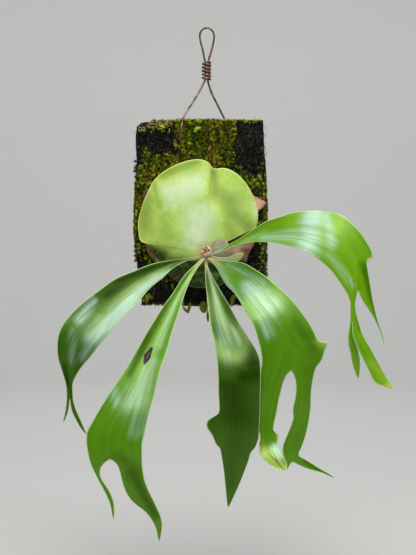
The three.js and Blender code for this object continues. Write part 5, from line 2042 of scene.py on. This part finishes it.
    def build(self) -> None:
        """Builds and dresses the moss, hairs, leaves and chips."""
        self.carpet("moss_top", 900, self.top_edge, (0.45, 1.15), self.bright, self.seed)
        self.carpet("moss_corner", 60, self.corner, (0.35, 0.75), self.bright, self.seed + 6)
        self.carpet("moss_face", 1800, self.face, (0.25, 0.75), self.dark, self.seed + 1)
        self.carpet("moss_sides", 420, self.sides, (0.6, 1.4), self.dark, self.seed + 2)
        self.cushion()
        self.hairs()
        self.patch_leaves()
        self.chips()
        self.leaves("creeping_leaves", CREEPING_LEAVES, self.leaf)
        self.leaves("fresh_leaves", FRESH_LEAVES, self.fresh)


# ---------------------------------------------------------------- wire
@dataclass
class Wire:
    """The hanging wire and its tail, wound round both strands."""

    finish: Material
    radius: float = 1.1
    wander: float = 0.35
    wander_scale: float = 70.0
    steps_per_point: int = 7
    winding_radius: float = 1.4
    sides: int = 14
    turns: int = 5
    top: float = -38.0
    pitch: float = 3.87
    steps_per_turn: int = 28
    reach: Spot = (4.0, 2.65)
    depth: float = -9.0

    def hanger(self) -> None:
        """Builds and dresses the wire, with painted shade on it under its binding."""
        bm = bmesh.new()
        other = Vector((5, 0, 0))
        path = [point * MM for point in through(WIRE_ROUTE, self.steps_per_point)]
        bent = [p + self.wander * MM * Vector((noise.noise(p * self.wander_scale),
                                               noise.noise(p * self.wander_scale + other), 0))
                for p in path]
        sweep(bm, bent, lambda t: self.radius * MM, self.sides)
        foot = self.top - self.pitch * self.turns
        heights = [v.co.z / MM for v in bm.verts]
        hanger = new_piece("hanging_wire", bm, outward=True)
        # painted shade inside the binding's turns
        keep_values(hanger, grime=[smooth((self.top + 1 - z) / 2) * smooth((z - foot + 1) / 2)
                                   for z in heights])
        dress(hanger, Slot.WIRE, self.finish, "wire_hanger")

    def winding(self) -> None:
        """Builds and dresses the binding's turns."""
        bm = bmesh.new()
        turns = [i / self.steps_per_turn for i in range(self.turns * self.steps_per_turn + 1)]
        coil = [Vector((self.reach[0] * math.cos(FULL_TURN * turn),
                        self.depth + self.reach[1] * math.sin(FULL_TURN * turn),
                        self.top - self.pitch * turn)) * MM for turn in turns]
        sweep(bm, coil, lambda t: self.winding_radius * MM, self.sides)
        dress(new_piece("wire_winding", bm, outward=True), Slot.WIRE, self.finish, "wire_binding")

    def build(self) -> None:
        """Builds and dresses the wire and its binding."""
        self.hanger()
        self.winding()


# ---------------------------------------------------------------- stage
@dataclass(frozen=True)
class Lamp:
    """A soft rectangular lamp: where it hangs, what it faces, its size, watts and colour."""

    name: str
    place: Point
    aim: Point
    size: Spot
    power: float
    tint: Colour
    mirrored: bool = True

    def build(self) -> None:
        """Makes the lamp, which the camera doesn't see."""
        data = bpy.data.lights.new(self.name, "AREA")
        data.shape = "RECTANGLE"
        data.size, data.size_y = self.size
        data.energy = self.power
        data.color = self.tint
        lamp = bpy.data.objects.new(self.name, data)
        lamp.location = self.place
        lamp.visible_camera = False
        lamp.visible_glossy = self.mirrored
        way = Vector(self.aim) - Vector(self.place)
        lamp.rotation_euler = way.to_track_quat("-Z", "Y").to_euler()
        bpy.context.collection.objects.link(lamp)


@dataclass
class Stage:
    """The camera, the pale floor and the soft light, in metres."""

    lens: float = 56.02
    sensor: float = 36.0
    eye: Point = (0.0017, -0.976, -0.279)
    floor_height: float = -0.66
    floor_radius: float = 2.3
    floor_sides: int = 72
    cove_radius: float = 1.2
    cove_steps: int = 12
    cove_start: float = math.radians(-30)
    cove_angle: float = math.radians(240)
    wall_height: float = 2.2
    sky_tint: Colour = (0.92, 0.96, 1.0)
    sky_strength: float = 0.14
    lamps: tuple[Lamp, ...] = (
        Lamp("overhead", (0.1, -0.8, 1.15), (0, -0.1, -0.3), (1.35, 0.9), 31.0, (1.0, 0.99, 0.96)),
        Lamp("front_fill", (-0.3, -2.2, 0.3), (0, 0, -0.3), (1.6, 1.2), 5.0, (0.97, 0.99, 1.0),
             mirrored=False),
        Lamp("backdrop", (0, 1.0, 1.5), (0, 3.4, 0.3), (2.4, 0.6), 24.0, (1.0, 1.0, 1.0)))

    def camera(self) -> None:
        """Makes the camera, level and square to the slab."""
        data = bpy.data.cameras.new("camera")
        data.lens = self.lens
        data.sensor_width = self.sensor
        camera = bpy.data.objects.new("camera", data)
        camera.location = self.eye
        camera.rotation_euler = (math.pi / 2, 0, 0)
        bpy.context.collection.objects.link(camera)
        bpy.context.scene.camera = camera

    def floor(self) -> None:
        """Makes the round floor, which rises in a wide cove behind the object."""
        bm = bmesh.new()
        foot = Vector((0, 0, self.floor_height))
        bmesh.ops.create_circle(bm, cap_ends=True, segments=self.floor_sides,
                                radius=self.floor_radius, matrix=Matrix.Translation(foot))
        turn = Matrix.Rotation(self.cove_start, 3, "Z")
        angles = [k / self.cove_steps * math.pi / 2 for k in range(self.cove_steps + 1)]
        profile = [Vector((self.floor_radius + self.cove_radius * math.sin(angle), 0,
                           self.cove_radius * (1 - math.cos(angle)))) for angle in angles]
        profile.append(profile[-1] + Vector((0, 0, self.wall_height)))
        row = start_row(bm, [turn @ p + foot for p in profile])
        edges = [bm.edges.get(pair) for pair in zip(row, row[1:])]
        bmesh.ops.spin(bm, geom=row + edges, cent=(0, 0, 0), axis=(0, 0, 1), angle=self.cove_angle,
                       steps=round(self.floor_sides * self.cove_angle / FULL_TURN))
        bmesh.ops.remove_doubles(bm, verts=bm.verts[:], dist=FLOOR_WELD)
        bmesh.ops.recalc_face_normals(bm, faces=bm.faces[:])
        turn_faces(bm, UP)
        floor = new_piece("stage_floor", bm)
        floor.data.materials.append(StageFinish().build())

    def sky(self) -> None:
        """Makes a soft even sky."""
        world = bpy.data.worlds.new("studio")
        world.use_nodes = True
        background = world.node_tree.nodes["Background"]
        background.inputs["Color"].default_value = (*self.sky_tint, 1.0)
        background.inputs["Strength"].default_value = self.sky_strength
        bpy.context.scene.world = world

    def build(self) -> None:
        """Builds the stage and sets plain screen colours."""
        self.camera()
        self.floor()
        self.sky()
        for lamp in self.lamps:
            lamp.build()
        bpy.context.scene.view_settings.view_transform = "Standard"
        bpy.context.scene.view_settings.look = "None"
        log.info("stage: %d lamps, floor at %.2f m", len(self.lamps), self.floor_height)


# ---------------------------------------------------------------- tones
# green shield: painted highlight above 0, painted shade below 0, darkest under the lip and on the lobe
# beneath the fronds
SHIELD_TONES = strokes(
    (-38, -188, -12, -180, 14, 15, 0.72), (-7, -214, -10, -236, 15, 13, 0.95),
    (-24, -196, -12, -210, 10, 12, 0.5), (-18, -244, -9, -247, 7, 5, 0.75),
    (51, -198, 54, -214, 4, 4, 0.45), (7, -162, 9, -186, 3, 9, -0.68), (11, -184, 24, -196, 9, 11, -0.55),
    (26, -208, 43, -222, 9, 8, -0.45), (24, -222, 30, -238, 7, 7, -0.36),
    (-57, -178, -51, -200, 3, 5, -0.55), (-50, -204, -42, -228, 6, 8, -0.2),
    (-64, -196, -69, -226, 9, 10, -0.5), (-72, -222, -69, -240, 6, 6, -0.45),
    (-48, -168, -12, -153, 6, 6, -0.55), (-63, -247, -48, -257, 5, 8, -1.2),
    (-48, -257, -30, -262, 8, 5, -0.8), (-30, -259, -14, -258, 5, 4, -0.4),
    (-39, -276, 20, -290, 14, 14, -1.3), (-30, -266, 16, -268, 9, 9, -1.25))
# dry shield: painted highlight above 0, painted shade below 0
DRY_TONES = strokes(
    (22, -243, 46, -230, 3, 3, -0.9), (40, -246, 50, -258, 5, 7, -0.85), (-68, -181, -69, -193, 6, 6, -0.9),
    (54, -192, 60, -208, 5, 5, 0.7), (24, -250, 40, -246, 4, 4, 0.55), (30, -256, 46, -262, 5, 5, -0.85),
    (52, -226, 50, -244, 4, 4, -0.5), (-58, -243, -50, -262, 5, 6, -1))
# slab: above 0 moss, below 0 bare black fibre; the bare band along the bottom stands partly for painted
# shade
SLAB_TONES = strokes(
    (-24, -113, 24, -113, 8, 8, 1), (-18, -130, 23, -130, 13, 11, 0.75), (-26, -147, 26, -148, 10, 9, 0.7),
    (-64, -158, -38, -150, 7, 9, 0.45), (-70, -166, -74, -205, 6, 6, 0.3),
    (-75, -205, -76, -245, 4, 4, 0.5), (38, -158, 60, -196, 6, 7, 0.2), (62, -178, 62, -290, 5, 5, 0.3),
    (47, -114, 47, -144, 13, 13, -1.2), (-68, -124, -46, -136, 10, 9, -0.75),
    (-37, -138, -34, -142, 5, 5, -0.6), (46, -204, 50, -290, 11, 13, -0.45),
    (-40, -300, 50, -296, 18, 16, -0.6))


class Green(Enum):
    """Greens of the blades."""

    DIM = "dim"
    FULL = "full"
    FRESH = "fresh"


@dataclass(frozen=True)
class FrondPlan:
    """What one blade of the fern is made from."""

    name: str
    node: str
    blade: Blade
    green: Green
    # strokes of painted highlight above 0 and painted shade below 0
    tones: tuple[Stroke, ...]
    marks: dict[str, tuple[Stroke, ...]] = field(default_factory=dict)


# each frond's tones are painted highlight above 0 and painted shade below 0
FRONDS = (
    FrondPlan(
        "blade_left", "frond_left", FROND_LEFT, Green.DIM, strokes(
            (-23, -264, -38, -272, 2, 3, 0.6), (-38, -272, -68, -290, 4, 8, 0.75),
            (-68, -292, -90, -318, 8, 12, 0.7), (-90, -318, -109, -338, 12.5, 9, 0.68),
            (-112, -302, -124, -320, 5, 6, 0.65), (-106, -335, -120, -358, 6, 4, 0.5),
            (-30, -262, -87, -280, 3, 8, -0.8), (-62, -277, -98, -297, 4, 6, -0.9),
            (-94, -296, -103, -311, 3, 3, -0.6), (-143, -325, -144, -358, 3, 3, -0.45),
            (-130, -332, -131, -362, 5, 5, 0.3), (-138, -364, -134, -384, 3, 2, -0.9),
            (-134, -383, -130, -396, 3, 2, -0.7))),
    FrondPlan(
        "blade_lower_left", "frond_lower_left", FROND_LOWER_LEFT, Green.FULL, strokes(
            (-15, -276, -29, -302, 2, 4, 0.35), (-31, -304, -48, -346, 3, 5, 0.4),
            (-42, -330, -56, -367, 1.2, 1.5, 0.3), (-53, -362, -73, -398, 7, 11.5, 0.4),
            (-89, -387, -85, -400, 5, 5, 0.45), (-54, -372, -59, -426, 4, 4, 0.4),
            (-59, -370, -65, -400, 6, 8, 0.5), (-65, -404, -68, -426, 8, 6, 0.4),
            (-39, -302, -58, -339, 3, 4, -0.7), (-57, -335, -74, -374, 4, 4, -0.9),
            (-84, -446, -62, -462, 6, 6, -0.6), (-70, -462, -48, -506, 7, 4, -0.8),
            (-94, -453, -89, -480, 3, 3, -0.6)),
        {"spot": strokes(
                (-61.1, -365, -58, -357, 0.5, 3.6, 1), (-58, -357, -52.9, -346.5, 3.6, 0.5, 1))}),
    FrondPlan(
        "blade_centre", "frond_centre", FROND_CENTRE, Green.DIM, strokes(
            (2, -269, 10, -302, 1.6, 3, 0.4), (10, -302, 19, -341, 4, 8, 0.4),
            (26, -328, 33, -346, 4, 5, 0.35), (20, -352, 21, -368, 5, 5, 0.35),
            (20, -300, 32, -322, 3, 4, -0.9), (56, -330, 44, -360, 5, 9, -1.1),
            (36, -374, 52, -370, 9, 9, -0.9), (14, -382, 30, -385, 7, 8, -0.8),
            (26, -392, 30, -412, 18, 18, -0.8), (12, -404, 7, -425, 7, 6, -0.5),
            (30, -425, 27, -445, 13, 11, -0.5), (23, -450, 23, -480, 8, 5, -0.45))),
    FrondPlan(
        "blade_lower_right", "frond_lower_right", FROND_LOWER_RIGHT, Green.FULL, strokes(
            (12, -266, 31, -301, 3, 6, 0.4), (22, -264, 57, -285, 3, 5, 0.4),
            (45, -291, 61, -307, 10, 12.5, 0.7), (43, -301, 54, -322, 7, 7, 0.35),
            (54, -316, 60, -333, 7, 6, 0.5), (64, -307, 74, -322, 8, 7, 0.25),
            (86, -322, 104, -346, 7, 7, -0.65), (58, -359, 54, -387, 4, 5, -0.2),
            (56, -410, 57, -428, 4, 4, -0.3), (97, -456, 122, -474, 4, 3, -0.7),
            (65, -442, 70, -448, 3.5, 3.5, 0.9)),
        {"pale_yellow": strokes(
                (57, -449, 72, -457, 5, 3.5, 0.55), (69.5, -431, 70, -433, 2, 2, 0.6),
                (114, -342, 120, -342, 5, 4, 0.5)),
         "scar": strokes(
                (58.5, -446.5, 66, -452, 0.8, 0.9, 0.9), (66, -453, 73, -458.5, 0.9, 0.6, 0.8),
                (51, -436, 53, -444, 1.1, 1.1, 0.9))}),
    FrondPlan(
        "blade_right", "frond_right", FROND_RIGHT, Green.FRESH, strokes(
            (109, -213, 98, -254, 9, 12, 0.85), (105, -226, 112, -236, 4, 5, 0.35),
            (119, -215, 123, -246, 5, 6, 0.6), (119, -255, 142, -287, 4, 3.5, 0.4),
            (57, -239, 94, -238, 4, 10, 0.5), (38, -243, 60, -232, 3, 4, 0.3),
            (40, -232, 81, -215, 2, 3, -0.5), (142, -222, 167, -254, 5, 6, -0.6),
            (138, -236, 148, -258, 5, 5, -0.35), (152, -266, 161, -300, 4, 4, -1),
            (146, -268, 149, -289, 2, 2, -0.5), (161, -300, 178, -345, 4, 3, -1),
            (147, -300, 149, -330, 3, 3, -0.7), (160, -342, 172, -372, 3, 4, -0.5),
            (146, -340, 152, -376, 3, 4, 0.2)),
        {"pale_yellow": strokes(
                (158, -361, 172, -374, 3, 5, 0.3), (176, -383, 186, -387, 3, 3, 0.9))}))


# ---------------------------------------------------------------- the object
def build_fern() -> None:
    """Builds the fern's shields, crown and fronds."""
    greens = {Green.FULL: BladeFinish().build(),
              Green.DIM: BladeFinish("frond_dim", shade(16, 36, 0), shade(50, 93, 2)).build(),
              Green.FRESH: BladeFinish("frond_fresh", shade(46, 88, 0), shade(112, 168, 8)).build()}
    Shield("dry_shield", "old_shield_frond", OLD_SHIELD_RIM, -42.0, DryFinish().build(), Slot.DRY,
           old_relief, DRY_TONES).build()
    Shield("green_shield", "main_shield_frond", SHIELD_RIM, -49.0, ShieldFinish().build(),
           Slot.SHIELD, main_relief, SHIELD_TONES).build()
    YoungShield(FeltFinish().build()).build()
    Frond("young_antler", "young_antler_frond", YOUNG_ANTLER,
          BladeFinish("young_green", shade(140, 158, 96), shade(166, 182, 124),
                      shade(200, 208, 172)).build(),
          Slot.YOUNG, thickness=1.0, stalk_length=14.0, pitch=1.5, fineness=4, wave=0.2,
          slimming=0.0, relaxing=2).build()
    wool = TuftFinish("bud_wool", shade(226, 220, 206), shade(252, 250, 244), 300.0, 0.9)
    Crown(ScaleFinish().build(), wool.build()).build()
    for seed, plan in enumerate(FRONDS):
        Frond(plan.name, plan.node, plan.blade, greens[plan.green], strokes=plan.tones,
              marks=plan.marks, seed=seed).build()


def build_mount() -> None:
    """Builds the slab, its moss and the wire."""
    Slab(BarkFinish().build()).build()
    Moss(bright=TuftFinish("moss_bright", shade(116, 122, 18), shade(214, 220, 60), 80.0).build(),
         dark=TuftFinish("moss_dark", shade(20, 28, 2), shade(128, 142, 18), 330.0).build(),
         hair=TuftFinish("root_hair", shade(24, 20, 17), shade(104, 96, 86), 90.0).build(),
         leaf=TuftFinish("leaf_olive", shade(74, 84, 8), shade(134, 142, 24), 60.0, 0.5).build(),
         fresh=TuftFinish("leaf_fresh", shade(130, 176, 30), shade(186, 226, 66), 60.0, 0.5).build(),
         chip=TuftFinish("chip_tan", shade(64, 46, 34), shade(214, 184, 140), 420.0, 0.8).build()
         ).build()
    Wire(WireFinish().build()).build()


def main() -> None:
    """Builds everything in order."""
    Stage().build()
    build_mount()
    build_fern()


if __name__ == "__main__":
    main()
